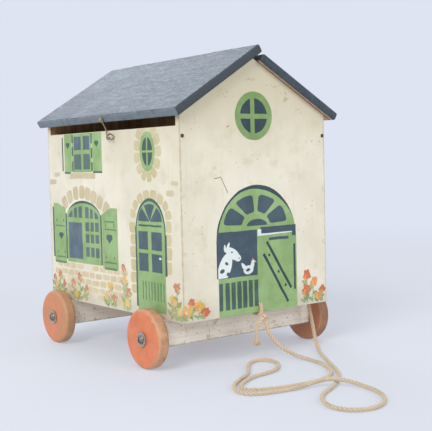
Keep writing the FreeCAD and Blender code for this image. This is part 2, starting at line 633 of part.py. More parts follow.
# Pull cord: from the knot under the gable over the floor and back up through the floor board
cord_points = [
    (0.5, -149, 43), (2, -151, 33.5), (6, -154.5, 23.5), (13, -159.5, 14), (21.5, -167, 7), (28, -177.5, 3.2),
    (29.5, -191, 2.3), (27, -205.5, 2.3), (21.5, -219, 2.3), (14, -232, 2.3), (5, -244.5, 2.3), (-7, -254.5, 2.3),
    (-22, -260.5, 2.3), (-38.5, -262.5, 2.3), (-55, -261, 2.3), (-71, -258, 2.3), (-86, -254.5, 2.3),
    (-97.5, -250.5, 2.3), (-104.8, -242.3, 2.3), (-105.5, -231.5, 2.3), (-98.8, -221.8, 2.3), (-87.5, -215, 2.3),
    (-74, -209, 2.3), (-59, -203.5, 2.3), (-44, -199.5, 2.3), (-30, -196.5, 2.3), (-17, -191, 2.3),
    (-6, -182, 2.3), (0, -169.5, 2.3), (-2, -156.5, 2.3), (-12, -148.5, 2.3), (-25, -150, 2.3),
    (-36.5, -159, 2.3), (-47.5, -171.5, 2.3), (-59.5, -184.5, 2.3), (-74, -195.5, 2.3), (-89, -205, 2.3),
    (-103, -215.5, 2.3), (-113.5, -228, 2.3), (-118.5, -241.5, 2.3), (-116, -254, 2.3), (-106, -261.5, 2.3),
    (-92.5, -265, 2.3), (-78.5, -267, 2.3), (-64.5, -270, 2.6), (-52.5, -274.5, 4.8), (-42, -280, 7.3),
    (-32, -288, 7.3), (-24, -297.5, 5), (-18.5, -309, 2.8), (-20, -323, 2.3), (-27, -339.5, 2.3),
    (-39, -354, 2.3), (-54.5, -362.5, 2.3), (-71, -361.5, 2.3), (-83.5, -352.5, 2.3), (-87, -338, 2.3),
    (-82.5, -322, 2.3), (-72, -307.5, 2.3), (-58, -297, 2.3), (-43.5, -290, 2.3), (-29, -282.5, 2.3),
    (-13.5, -272, 2.3), (1, -259, 2.3), (12.5, -245.5, 2.3), (22.5, -231, 2.3), (32, -215, 2.3),
    (43, -198.5, 2.3), (54, -181.5, 2.3), (66.5, -164.5, 2.3), (79, -149.5, 2.3), (88, -138.5, 2.6),
    (94, -130, 6), (97, -124.8, 14.5), (96.6, -122.5, 25), (94.5, -121.5, 36), (92.2, -121.2, 47),
    (90, -121.3, 58.5), (88.9, -121.5, 66), (88.5, -121.5, 74),
]
cord_radius = size["cord_diameter"] / 2
cord_wire, cord_bends = bent_wire([Vector(*point) for point in cord_points])
cord = tube_along(cord_wire, cord_radius)
print("cord length", round(cord_wire.Length, 1), "bends", [round(radius, 1) for radius in cord_bends])
print("cord volume over section times length",
      round(cord.Volume / (math.pi * cord_radius ** 2 * cord_wire.Length), 4))
keep(feature(cord, "pull_cord"), "pull_cord")
keep_apart = 8 * size["cord_diameter"]
spots = cord_wire.discretize(Number=int(cord_wire.Length))
step = cord_wire.Length / (len(spots) - 1)
skip = int(keep_apart / step)
closest = min((spots[i] - spots[j]).Length for i in range(len(spots)) for j in range(i + skip, len(spots)))
print("least gap of the cord to itself", round(closest - size["cord_diameter"], 2))

# Loop of cord through the gable hole and under the gable's lower edge
loop_front = -gable_face - cord_radius - size["cord_loop_gap"]
loop_rear = -gable_face + size["gable_thickness"] + cord_radius + size["cord_loop_gap"]
loop_low = value(wall_bottom) - cord_radius - size["cord_loop_gap"]
bend_radius = size["cord_loop_bend"]
loop_corners = [(loop_front, loop_low, 1, 1), (loop_rear, loop_low, -1, 1),
                (loop_rear, cord_hole_height, -1, -1), (loop_front, cord_hole_height, 1, -1)]
arcs = []
for along, high, step_y, step_z in loop_corners:
    centre = Vector(0, along + step_y * bend_radius, high + step_z * bend_radius)
    by_y = centre - Vector(0, step_y * bend_radius, 0)
    by_z = centre - Vector(0, 0, step_z * bend_radius)
    diagonal = centre - Vector(0, step_y, step_z).normalize() * bend_radius
    ends = (by_y, by_z) if step_y * step_z > 0 else (by_z, by_y)
    arcs.append((ends[0], diagonal, ends[1]))
loop_edges = []
for k, (begin, diagonal, end) in enumerate(arcs):
    loop_edges.append(Part.Arc(begin, diagonal, end).toShape())
    loop_edges.append(Part.LineSegment(end, arcs[(k + 1) % 4][0]).toShape())
keep(feature(tube_along(Part.Wire(loop_edges), cord_radius), "cord_loop"), "cord_loop")


# Overhand knot: a plump turn of cord about "along"
def knot(middle, along):
    return fuse([torus("Dims.knot_ring", "Dims.knot_turn", middle, along), ball("Dims.knot_ring", middle)])


knot_middle = Vector(0.5, loop_front - size["knot_drop"], loop_low - size["knot_drop"])
keep(knot(knot_middle, Vector(1, 0, 0.35)), "cord_knot")
tail_points = [Vector(-1, -147.3, 47), Vector(-7, -148, 42), Vector(-10.8, -147.8, 34.6),
               Vector(-11.2, -147.2, 27), Vector(-10.3, -146.6, 20.5)]
tail_line, tail_bends = bent_wire(tail_points)
print("tail bends", [round(radius, 1) for radius in tail_bends])
tail_tube = feature(tube_along(tail_line, cord_radius), "tail_tube")
fray = doc.addObject("Part::Cone", "Fray")
bind(fray, Radius1="Dims.cord_diameter / 2", Radius2="Dims.fray_radius", Height="Dims.fray_length")
fray.Placement = Placement(tail_points[-1] + Vector(0, 0, cord_radius), Rotation(Vector(0, 0, 1), down))
keep(fuse([tail_tube, fray]), "cord_tail")
keep(knot(cord_exit + Vector(0, 0, size["knot_turn"]), Vector(0, 0, 1)), "cord_stop_knot")

doc.recompute()
for thing in doc.Objects:
    if "Invalid" in thing.State or "Error" in thing.State:
        raise RuntimeError(f"{thing.Label} failed: {thing.State}")
for thing in nodes:
    if thing.Shape.isNull() or not thing.Shape.isValid() or not thing.Shape.Solids:
        raise RuntimeError(f"{thing.Label} has no valid solid")
os.makedirs("parts", exist_ok=True)
for thing in nodes:
    thing.Shape.exportStep(f"parts/{thing.Label}.step")
print(len(nodes), "nodes,", sum(len(thing.Shape.Solids) for thing in nodes), "solids")
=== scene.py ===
import bpy
import bmesh
import math
import random
from mathutils import Matrix, Vector, kdtree, noise


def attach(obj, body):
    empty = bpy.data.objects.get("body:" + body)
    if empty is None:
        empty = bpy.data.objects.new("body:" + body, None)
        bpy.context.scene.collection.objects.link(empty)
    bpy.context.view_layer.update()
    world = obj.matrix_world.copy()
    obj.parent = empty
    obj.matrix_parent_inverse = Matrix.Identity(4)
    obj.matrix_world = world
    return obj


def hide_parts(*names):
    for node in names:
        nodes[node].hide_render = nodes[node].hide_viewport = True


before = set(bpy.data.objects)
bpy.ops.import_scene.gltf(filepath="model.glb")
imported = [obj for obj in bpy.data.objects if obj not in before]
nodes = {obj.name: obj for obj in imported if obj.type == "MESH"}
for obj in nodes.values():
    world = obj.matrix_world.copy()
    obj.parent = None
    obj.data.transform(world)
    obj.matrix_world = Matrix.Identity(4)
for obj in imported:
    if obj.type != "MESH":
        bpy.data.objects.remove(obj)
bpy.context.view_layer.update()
scene = bpy.context.scene
print("frame loaded:", len(nodes), "nodes")


def addObject(name, data):
    thing = bpy.data.objects.new(name, data)
    scene.collection.objects.link(thing)
    return thing


# camera as the photograph was taken, metres and degrees
cameraSpot = {
    "place": (-0.63407, -0.88081, 0.21613), "azimuth": -37.93, "elevation": 3.40, "roll": -1.30,
    "lens": 74.98, "sensor": 36, "clip": (0.05, 60)}


def makeCamera(spot):
    turn, rise, roll = (math.radians(spot[key]) for key in ("azimuth", "elevation", "roll"))
    back = Vector((math.sin(turn) * math.cos(rise), -math.cos(turn) * math.cos(rise), math.sin(rise)))
    right = Vector((math.cos(turn), math.sin(turn), 0))
    up = back.cross(right)
    across = right * math.cos(roll) + up * math.sin(roll)
    above = up * math.cos(roll) - right * math.sin(roll)
    lens = bpy.data.cameras.new("camera")
    lens.lens = spot["lens"]
    lens.sensor_width = spot["sensor"]
    lens.clip_start, lens.clip_end = spot["clip"]
    camera = addObject("camera", lens)
    pose = Matrix((across, above, back)).transposed().to_4x4()
    camera.matrix_world = Matrix.Translation(spot["place"]) @ pose
    scene.camera = camera


makeCamera(cameraSpot)
scene.view_settings.view_transform = "Standard"
print("camera placed")


# node helpers: they add to the tree on the bench and return the socket that goes on to the next node
bench = {}
# hex codes are screen colours, nodes take linear light
screenCurve = {"knee": 0.04045, "slope": 12.92, "lift": 0.055, "span": 1.055, "power": 2.4}


def linear(part):
    if part <= screenCurve["knee"]:
        return part / screenCurve["slope"]
    return ((part + screenCurve["lift"]) / screenCurve["span"]) ** screenCurve["power"]


def tone(code):
    return (*(linear(int(code[k:k + 2], 16) / 255) for k in (1, 3, 5)), 1)


def feedInput(node, socket, feed):
    if isinstance(feed, bpy.types.NodeSocket):
        bench["tree"].links.new(feed, node.inputs[socket])
    else:
        node.inputs[socket].default_value = tone(feed) if isinstance(feed, str) else feed


def addNode(kind, feeds, **settings):
    node = bench["tree"].nodes.new("ShaderNode" + kind)
    for key, setting in settings.items():
        setattr(node, key, setting)
    for socket, feed in feeds.items():
        feedInput(node, socket, feed)
    return node


def startFinish(name, part):
    finish = bpy.data.materials.new(name)
    finish.use_nodes = True
    bench["tree"] = finish.node_tree
    bench["shader"] = finish.node_tree.nodes["Principled BSDF"]
    for socket, setting in part["inputs"].items():
        feedInput(bench["shader"], socket, setting)
    return finish


def objectPlace():
    return addNode("TexCoord", {}).outputs["Object"]


def stretched(place, scale):
    return addNode("Mapping", {"Vector": place, "Scale": scale}).outputs["Vector"]


def cloud(place, scale, detail=4, rough=0.55, distortion=0):
    feeds = {"Vector": place, "Scale": scale, "Detail": detail, "Roughness": rough, "Distortion": distortion}
    return addNode("TexNoise", feeds).outputs["Fac"]


def fade(value, low, high, first=0, last=1):
    feeds = {"Value": value, "From Min": low, "From Max": high, "To Min": first, "To Max": last}
    return addNode("MapRange", feeds, interpolation_type="SMOOTHSTEP").outputs["Result"]


def sums(kind):
    return lambda first, second=0.0: addNode("Math", {0: first, 1: second}, operation=kind).outputs["Value"]


plus, minus, times, unsigned = map(sums, ("ADD", "SUBTRACT", "MULTIPLY", "ABSOLUTE"))
isOver, isUnder, most, least = map(sums, ("GREATER_THAN", "LESS_THAN", "MAXIMUM", "MINIMUM"))
squareRoot, pingPong = map(sums, ("SQRT", "PINGPONG"))


def along(place, direction):
    return addNode("VectorMath", {0: place, 1: direction}, operation="DOT_PRODUCT").outputs["Value"]


def axes(place):
    return addNode("SeparateXYZ", {"Vector": place}).outputs


def blendTones(factor, first, second):
    return addNode("Mix", {0: factor, 6: first, 7: second}, data_type="RGBA").outputs[2]


# noise fields by name: a stretch or None, then what cloud takes
def clouds(place, rows):
    return {name: cloud(stretched(place, stretch) if stretch else place, *settings)
            for name, (stretch, *settings) in rows.items()}


# "base" blends two tones by a field; each of "layers" lays a tone by a field, faded where a span is given
def layered(part, fields):
    name, first, second, *span = part["base"]
    colour = blendTones(fade(fields[name], *span), part[first], part[second])
    for name, over, *span in part["layers"]:
        factor = fade(fields[name], *span) if span else fields[name]
        colour = blendTones(factor, colour, part[over])
    return colour


# "rough" is a field and its span; "bump" is the fields that add up, strength and distance
def feedShader(finish, part, fields, colour):
    feedInput(bench["shader"], "Base Color", colour)
    if "rough" in part:
        name, *span = part["rough"]
        feedInput(bench["shader"], "Roughness", fade(fields[name], *span))
    names, strength, distance = part["bump"]
    height = fields[names[0]]
    for name in names[1:]:
        height = plus(height, fields[name])
    bump = addNode("Bump", {"Height": height, "Strength": strength, "Distance": distance})
    feedInput(bench["shader"], "Normal", bump.outputs["Normal"])
    return finish


# a finish from its clouds and the fields that "addFields" makes of them
def makeFinish(name, part, addFields=None):
    finish = startFinish(name, part)
    place = objectPlace()
    fields = clouds(place, part["clouds"])
    if addFields:
        addFields(part, place, fields)
    return feedShader(finish, part, fields, layered(part, fields))


# bare plywood: the face grain runs along the axis that "grain" scales least
bareWood = {"light": "#D2AE7F", "dark": "#AD8254", "grain": (90, 7, 90)}
uprightWood = {**bareWood, "grain": (90, 90, 7)}
woodLook = {
    "pore": "#8A6238", "inputs": {"Roughness": 0.72},
    "clouds": {"streak": (1.6, 6, 0.62, 0.4), "fine": (7, 3, 0.5)},
    "base": ("streak", "light", "dark", 0.3, 0.7), "layers": (("fine", "pore", 0.5, 0.75, 0, 0.35),),
    "rough": ("streak", 0.2, 0.8, 0.65, 0.8), "bump": (("streak",), 0.25, 0.0002)}


def woodColour(place, wood):
    fields = clouds(place, {name: (wood["grain"], *row) for name, row in woodLook["clouds"].items()})
    return layered({**woodLook, **wood}, fields), fields


def makeBareWood(name, wood):
    finish = startFinish(name, woodLook)
    colour, fields = woodColour(objectPlace(), wood)
    return feedShader(finish, woodLook, fields, colour)


# facade: old cream paint outside, bare plywood inside; grime near the foot, corners rubbed back to the wood
facade = {
    "cream": "#EAE4D1", "shade": "#DDD6C0", "stain": "#B9A07A", "grime": "#B5A892", "deepCream": "#CFC5A8",
    "glue": "#8A6238", "inputs": {"Roughness": 0.62}, "wallFace": 0.1018, "gableFace": 0.1408,
    "halfWidth": 0.102, "halfLength": 0.141, "foot": 0.052, "ply": 0.0013, "thick": 0.0062,
    "glueLine": (0.45, 0.6), "glueMix": 0.5, "drift": 0.06, "splash": 0.03, "ragged": 0.0042,
    "clouds": {
        "mottle": (None, 14, 4, 0.6), "speck": (None, 210, 3, 0.6), "blotch": (None, 38, 5, 0.65),
        "grain": ((260, 260, 12), 1, 5, 0.6), "edge": (None, 130, 4, 0.65)},
    "base": ("mottle", "cream", "shade", 0.35, 0.72),
    "layers": (
        ("blotch", "deepCream", 0.52, 0.74, 0, 0.55), ("upward", "deepCream", 0.225, 0.325, 0, 0.9),
        ("grain", "stain", 0.55, 0.8, 0, 0.22), ("speck", "stain", 0.68, 0.78, 0, 0.4),
        ("footGap", "grime", -0.012, 0.012, 0.4, 0), ("cornerGap", "stain", -0.0016, -0.0004, 0.6, 0)),
    "rough": ("mottle", 0.2, 0.8, 0.52, 0.7), "bump": (("grain", "speck"), 0.22, 0.00025)}


def makeFacade(name, part, wood):
    finish = startFinish(name, part)
    place = objectPlace()
    x, y, z = axes(place)
    sideways = unsigned(x)
    lengthways = unsigned(y)
    painted = most(isOver(sideways, part["wallFace"]), isOver(lengthways, part["gableFace"]))
    wallGap = minus(part["halfWidth"], sideways)
    gableGap = minus(part["halfLength"], lengthways)
    fields = clouds(place, part["clouds"])
    # the upward band makes the cream darker and yellower towards the top
    fields["upward"] = plus(z, times(fields["blotch"], part["drift"]))
    fields["footGap"] = minus(minus(z, part["foot"]), times(fields["mottle"], part["splash"]))
    fields["cornerGap"] = minus(most(wallGap, gableGap), times(fields["edge"], part["ragged"]))
    # plies show on cut edges, counted in from the painted face
    depth = least(unsigned(wallGap), unsigned(gableGap))
    low, high = (share * part["ply"] for share in part["glueLine"])
    glued = fade(pingPong(depth, part["ply"]), low, high, 0, part["glueMix"])
    dark = times(isUnder(depth, part["thick"]), glued)
    bare = blendTones(dark, woodColour(place, wood)[0], part["glue"])
    return feedShader(finish, part, fields, blendTones(painted, bare, layered(part, fields)))


# roof boards: dark slate paint, bare below; "bare" is where the wood gives way to paint up the edge
roofPaint = {
    "slate": "#48545E", "pale": "#5C6973", "deep": "#353F48", "edge": "#7A868E", "scratch": "#8792A0",
    "end": "#2B3438", "verge": "#3A434B", "seamShadow": "#6E4A33", "inputs": {"Roughness": 0.45}, "gable": 0.141,
    "seamFrom": -0.0002, "seam": (0.0016, 0.0034, 0.75, 0), "wrap": (0.0028, 0.0034, 1, 0), "wrapDeep": 0.004,
    "ragged": 0.004, "waver": 0.0009, "ridgeShare": 1.6, "endSpan": (0.0003, 0.0012), "endSpare": 0.0021,
    "clouds": {
        "brush": ((110, 9, 110), 1.6, 8, 0.7, 0.4), "fine": ((110, 9, 110), 5, 6, 0.7, 0.2),
        "patch": (None, 22, 6, 0.65), "grit": ((1, 0.5, 1), 420, 3, 0.7), "ragged": (None, 150, 4, 0.65),
        "waver": (None, 60, 3)},
    "base": ("brush", "deep", "slate", 0.34, 0.66),
    "layers": (
        ("patch", "pale", 0.45, 0.75, 0, 0.7), ("fine", "scratch", 0.56, 0.7, 0, 0.6),
        ("grit", "scratch", 0.58, 0.7, 0, 0.45), ("verge", "verge", 0.004, 0.0135, 0.8, 0), ("end", "end"),
        ("near", "edge", -0.0022, -0.0006, 0.7, 0)),
    "bump": (("brush", "fine", "grit"), 0.5, 0.0004)}
roofSides = {
    "roof_lid": {
        "normal": (-0.5273, 0, 0.8497), "slope": (0.8497, 0, 0.5273), "bare": (-0.0001, 0.0003),
        "rough": ("worn", 0.7, 1.3, 0.34, 0.6), "endMix": 0.9,
        "wood": {"light": "#B2A698", "dark": "#918578", "grain": (90, 8, 90)}},
    "fixed_roof_panel": {
        "normal": (0.494, 0, 0.8695), "slope": (-0.8695, 0, 0.494), "bare": (0.0002, 0.0006),
        "rough": ("worn", 0.7, 1.3, 0.66, 0.82), "endMix": 0.45,
        "wood": {"light": "#D0B398", "dark": "#B59479", "grain": (90, 8, 90)}}}


def makeRoof(name, part):
    finish = startFinish(name + "_paint", part)
    place = objectPlace()
    verts = nodes[name].data.vertices
    under = min(vert.co.dot(Vector(part["normal"])) for vert in verts)
    reaches = [vert.co.dot(Vector(part["slope"])) for vert in verts]
    ends = max(abs(vert.co.y) for vert in verts)
    height = minus(along(place, part["normal"]), under)
    reach = minus(along(place, part["slope"]), min(reaches))
    y = axes(place)[1]
    lengthways = unsigned(y)
    endGap = minus(ends, lengthways)
    fields = clouds(place, part["clouds"])
    fields["worn"] = plus(fields["fine"], fields["grit"])
    ragged = times(fields["ragged"], part["ragged"])
    # darker along the rear end and the ridge, rubbed along the eave and the ends
    ridgeGap = times(minus(max(reaches) - min(reaches), reach), part["ridgeShare"])
    fields["verge"] = plus(least(minus(ends, y), ridgeGap), ragged)
    fields["end"] = fade(endGap, *part["endSpan"], part["endMix"], 0)
    fields["near"] = minus(least(reach, plus(endGap, part["endSpare"])), ragged)
    # painted shadow: a brown line on the board's underside where it meets the gable
    seam = minus(lengthways, part["gable"])
    seam = times(isOver(seam, part["seamFrom"]), fade(seam, *part["seam"]))
    wood = blendTones(seam, woodColour(place, part["wood"])[0], part["seamShadow"])
    # the paint runs a little way under the board's ends
    wrapped = times(fade(endGap, *part["wrap"]), part["wrapDeep"])
    bareLine = plus(minus(height, times(fields["waver"], part["waver"])), wrapped)
    colour = blendTones(fade(bareLine, *part["bare"]), wood, layered(part, fields))
    return feedShader(finish, part, fields, colour)


# wheels: orange paint rubbed off the rims and treads; rear ones faded, painted shade darkens the right
# treads, inner faces thin
wheelPaint = {
    "orange": "#DF8258", "deep": "#CE754B", "rubbed": "#C59A77", "dirt": "#94694D", "bare": "#B3896B",
    "chip": "#E9B796", "faded": "#BC9069", "shaded": "#83573F", "inputs": {"Roughness": 0.5},
    "inside": 0.1093, "middle": 0.0045, "spread": 0.098, "hub": 0.032, "half": 0.5, "ragged": 0.007,
    "dirtyRim": (0.0312, 0.0318), "dirtyMix": (0.4, 0.62, 0, 0.6), "rearMix": (0.3, 0.66, 0.12, 0.7),
    "rightRim": (0.0300, 0.0316, 0, 0.6), "thinMix": (0.25, 0.6, 0.95, 0.6),
    "clouds": {
        "mottle": (None, 55, 5, 0.6), "chips": (None, 240, 4, 0.65), "scrape": ((40, 90, 300), 1, 5, 0.65)},
    "base": ("mottle", "orange", "deep", 0.32, 0.7),
    "layers": (
        ("worn", "rubbed", 0.0292, 0.0304, 0, 0.9), ("dirty", "dirt"), ("chips", "chip", 0.66, 0.72, 0, 0.7),
        ("scrape", "rubbed", 0.58, 0.72, 0, 0.55), ("rear", "faded"), ("right", "shaded"), ("thin", "bare")),
    "rough": ("mottle", 0.3, 0.7, 0.42, 0.62), "bump": (("mottle", "chips"), 0.25, 0.0003)}


def wheelFields(part, place, fields):
    x, y, z = axes(place)
    level = minus(unsigned(minus(y, part["middle"])), part["spread"])
    rise = minus(z, part["hub"])
    radius = squareRoot(plus(times(level, level), times(rise, rise)))
    mottle = fields["mottle"]
    fields["worn"] = plus(radius, times(minus(fields["chips"], part["half"]), part["ragged"]))
    fields["dirty"] = times(fade(radius, *part["dirtyRim"]), fade(mottle, *part["dirtyMix"]))
    fields["rear"] = times(isOver(y, 0.0), fade(mottle, *part["rearMix"]))
    # painted shade: the right wheels' treads are darkened as if in shadow
    fields["right"] = times(isOver(x, 0.0), fade(radius, *part["rightRim"]))
    fields["thin"] = times(isUnder(unsigned(x), part["inside"]), fade(mottle, *part["thinMix"]))


# axle beams: thin greyish white paint, scuffed to the wood
beamPaint = {
    "white": "#F8F2E5", "grey": "#E9E0CF", "wood": "#B39A7E", "dot": "#6E5D4C", "drop": "#C98E5E",
    "inputs": {"Roughness": 0.66}, "ragged": 0.003,
    "clouds": {
        "streak": ((9, 120, 120), 1.4, 5, 0.62, 0.3), "scuff": (None, 70, 5, 0.68),
        "speck": (None, 330, 3, 0.6), "splash": ((1, 1, 0.5), 130, 3, 0.5)},
    "base": ("streak", "white", "grey", 0.35, 0.68),
    "layers": (
        ("scuff", "wood", 0.58, 0.7, 0, 0.7), ("speck", "dot", 0.63, 0.7, 0, 0.85),
        ("splash", "drop", 0.69, 0.73, 0, 0.55), ("lowEdge", "dot", 0.0206, 0.0226, 0.7, 0)),
    "rough": ("streak", 0.2, 0.8, 0.58, 0.74), "bump": (("streak", "scuff"), 0.3, 0.0003)}


def beamFields(part, place, fields):
    fields["lowEdge"] = minus(axes(place)[2], times(fields["speck"], part["ragged"]))


# small metal, dull, a little tarnished: metal, tarnish, roughness
metals = {
    "dull_steel": ("#8F8B84", "#6B5E4E", 0.52), "warm_wire": ("#AB9C84", "#7A6A54", 0.45),
    "bright_washer": ("#BDB8B0", "#918A80", 0.36)}
metalLook = {
    "metallic": 0.85, "gloss": (0.3, 0.7), "smoother": 0.08, "duller": 0.15,
    "clouds": {"bloom": (None, 420, 5, 0.65)},
    "base": ("bloom", "metal", "tarnish", 0.38, 0.68), "layers": (), "bump": (("bloom",), 0.06, 0.0001)}


def makeMetal(name, part):
    metal, tarnish, rough = metals[name]
    gloss = ("bloom", *part["gloss"], rough - part["smoother"], rough + part["duller"])
    inputs = {"Roughness": rough, "Metallic": part["metallic"]}
    return makeFinish(name, {**part, "metal": metal, "tarnish": tarnish, "rough": gloss, "inputs": inputs})


# nail heads: painted over low on the walls, green in the house door, rust dark near the eaves
nailHeads = {
    "painted": "#DED6C0", "green": "#8FAE72", "rust": "#4A3E33", "deepRust": "#2E251D", "edge": "#A8977B",
    "inputs": {"Roughness": 0.6}, "line": 0.236, "door": (-0.1115, -0.0565), "wall": -0.1,
    "rustSpan": (0.35, 0.7), "clouds": {"speck": (None, 700, 4, 0.6)},
    "base": ("speck", "painted", "edge", 0.5, 0.66), "layers": (("inDoor", "green"), ("high", "rusty")),
    "rough": ("speck", 0.3, 0.7, 0.5, 0.7), "bump": (("speck",), 0.3, 0.0001)}


def makeNail(part):
    finish = startFinish("nail_head", part)
    place = objectPlace()
    x, y, z = axes(place)
    fields = clouds(place, part["clouds"])
    low, high = part["door"]
    fields["inDoor"] = times(times(isOver(y, low), isUnder(y, high)), isUnder(x, part["wall"]))
    fields["high"] = isOver(z, part["line"])
    rusty = blendTones(fade(fields["speck"], *part["rustSpan"]), part["rust"], part["deepRust"])
    return feedShader(finish, part, fields, layered({**part, "rusty": rusty}, fields))


def wear(names, finish):
    for name in names:
        slots = nodes[name].material_slots
        if not slots:
            nodes[name].data.materials.append(finish)
        for slot in slots:
            slot.material = finish


hinges = [end + "_hinge_" + kind for end in ("front", "rear") for kind in ("roof_leaf", "lid_leaf", "pin")]
screws = ["roof_leaf_screws", "lid_leaf_screws", "axle_screws", "beam_screws"]
wear(hinges + screws, makeMetal("dull_steel", metalLook))
wear(["screw_eye", "latch_hook", "hook_screw"], makeMetal("warm_wire", metalLook))
wear(["inner_washers", "outer_washers"], makeMetal("bright_washer", metalLook))
wear(["front_gable", "rear_gable"], makeFacade("gable_paint", facade, uprightWood))
wear(["left_wall", "right_wall"], makeFacade("wall_paint", facade, bareWood))
wear(["floor_board"], makeBareWood("bare_plywood", bareWood))
for boardName, boardSide in roofSides.items():
    wear([boardName], makeRoof(boardName, {**roofPaint, **boardSide}))
wheels = [end + "_" + side + "_wheel" for end in ("front", "rear") for side in ("left", "right")]
wear(wheels, makeFinish("wheel_paint", wheelPaint, wheelFields))
wear(["front_beam", "rear_beam"], makeFinish("worn_white_paint", beamPaint, beamFields))
wear(["front_gable_nails", "rear_gable_nails", "floor_nails", "roof_nails"], makeNail(nailHeads))
print("finishes on the CAD nodes")


# cotton rope of three strands, sizes in millimetres; lighter and warmer near the knot
perMetre = 1000
rope = {
    "strands": 3, "strand": 1.12, "offset": 1.13, "lay": 12.0, "sides": 2, "order": 3, "resolution": 12,
    "pale": "#DDCEB8", "warm": "#C3AE92", "dirt": "#AC967A", "groove": "#87725A", "peach": "#E2BE9E",
    "inputs": {"Roughness": 0.9, "Sheen Weight": 0.25},
    "clouds": {"fibre": (None, 1500, 4, 0.6), "patch": (None, 60, 4, 0.6)},
    "base": ("fibre", "warm", "pale", 0.34, 0.66),
    "layers": (
        ("patch", "dirt", 0.5, 0.75, 0, 0.45), ("nearKnot", "peach", -0.172, -0.15, 0, 0.5),
        # painted shade in the grooves between the strands
        ("reach", "groove", 1.25, 1.95, 0.8, 0)),
    "bump": (("fibre",), 0.5, 0.0003)}


def cottonFields(part, place, fields):
    fields["nearKnot"] = axes(place)[1]
    fields["reach"] = addNode("Attribute", {}, attribute_name="reach").outputs["Fac"]


cotton = makeFinish("cotton_cord", rope, cottonFields)


def startCurve():
    curve = bpy.data.curves.new("route", "CURVE")
    curve.dimensions = "3D"
    return curve


def addLine(curve, kind, places, closed):
    line = curve.splines.new(kind)
    line.points.add(len(places) - 1)
    for spot, place in zip(line.points, places):
        spot.co = (place[0], place[1], place[2], 1)
    line.use_cyclic_u = closed
    return line


def curveMesh(curve):
    holder = addObject("route", curve)
    made = bpy.data.meshes.new_from_object(holder)
    bpy.data.objects.remove(holder)
    bpy.data.curves.remove(curve)
    return made


def linePoints(route, closed=False):
    curve = startCurve()
    line = addLine(curve, "NURBS", [[part / perMetre for part in place] for place in route], closed)
    line.order_u = rope["order"]
    line.use_endpoint_u = not closed
    line.resolution_u = rope["resolution"]
    bare = curveMesh(curve)
    spots = [vert.co.copy() for vert in bare.vertices]
    bpy.data.meshes.remove(bare)
    return spots


# the strands wind round the line; on a closed line the twist is made to meet itself
def strandLines(spots, part, closed=False):
    count = len(spots)
    tangents = []
    for k in range(count):
        after = spots[(k + 1) % count] if closed else spots[min(k + 1, count - 1)]
        before = spots[k - 1] if closed else spots[max(k - 1, 0)]
        tangents.append((after - before).normalized())
    normals = [tangents[0].orthogonal().normalized()]
    runs = [0.0]
    for k in range(1, count):
        normals.append((normals[-1] - tangents[k] * normals[-1].dot(tangents[k])).normalized())
        runs.append(runs[-1] + (spots[k] - spots[k - 1]).length)
    total = runs[-1]
    turns = total / (part["lay"] / perMetre) * math.tau
    if closed:
        total += (spots[0] - spots[-1]).length
        last = (normals[-1] - tangents[0] * normals[-1].dot(tangents[0])).normalized()
        drift = math.atan2(last.cross(normals[0]).dot(tangents[0]), last.dot(normals[0]))
        turns = max(1, round(turns / math.tau)) * math.tau + drift
    lines = []
    for strand in range(part["strands"]):
        line = []
        for spot, tangent, normal, run in zip(spots, tangents, normals, runs):
            angle = strand * math.tau / part["strands"] + turns * run / total
            side = normal * math.cos(angle) + tangent.cross(normal) * math.sin(angle)
            line.append(spot + side * (part["offset"] / perMetre))
        lines.append(line)
    return lines


def tubeMesh(lines, thick, sides, closed=False):
    curve = startCurve()
    curve.bevel_depth = thick / perMetre
    curve.bevel_resolution = sides
    curve.use_fill_caps = not closed
    for line in lines:
        addLine(curve, "POLY", line, closed)
    return curveMesh(curve)


def makeRope(name, route, body, node, closed=False, extra=None):
    spots = linePoints(route, closed)
    made = tubeMesh(strandLines(spots, rope, closed), rope["strand"], rope["sides"], closed)
    if extra:
        whole = bmesh.new()
        whole.from_mesh(made)
        whole.from_mesh(extra)
        whole.to_mesh(made)
        whole.free()
    # how far each point lies from the cord's line, in millimetres, for the painted shade in the grooves
    # between strands
    tree = kdtree.KDTree(len(spots))
    for k, spot in enumerate(spots):
        tree.insert(spot, k)
    tree.balance()
    reach = made.attributes.new("reach", "FLOAT", "POINT")
    for vert in made.vertices:
        reach.data[vert.index].value = tree.find(vert.co)[2] * perMetre
    made.materials.clear()
    made.materials.append(cotton)
    for face in made.polygons:
        face.use_smooth = True
    piece = addObject(name, made)
    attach(piece, body)
    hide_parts(node)
    return piece, spots


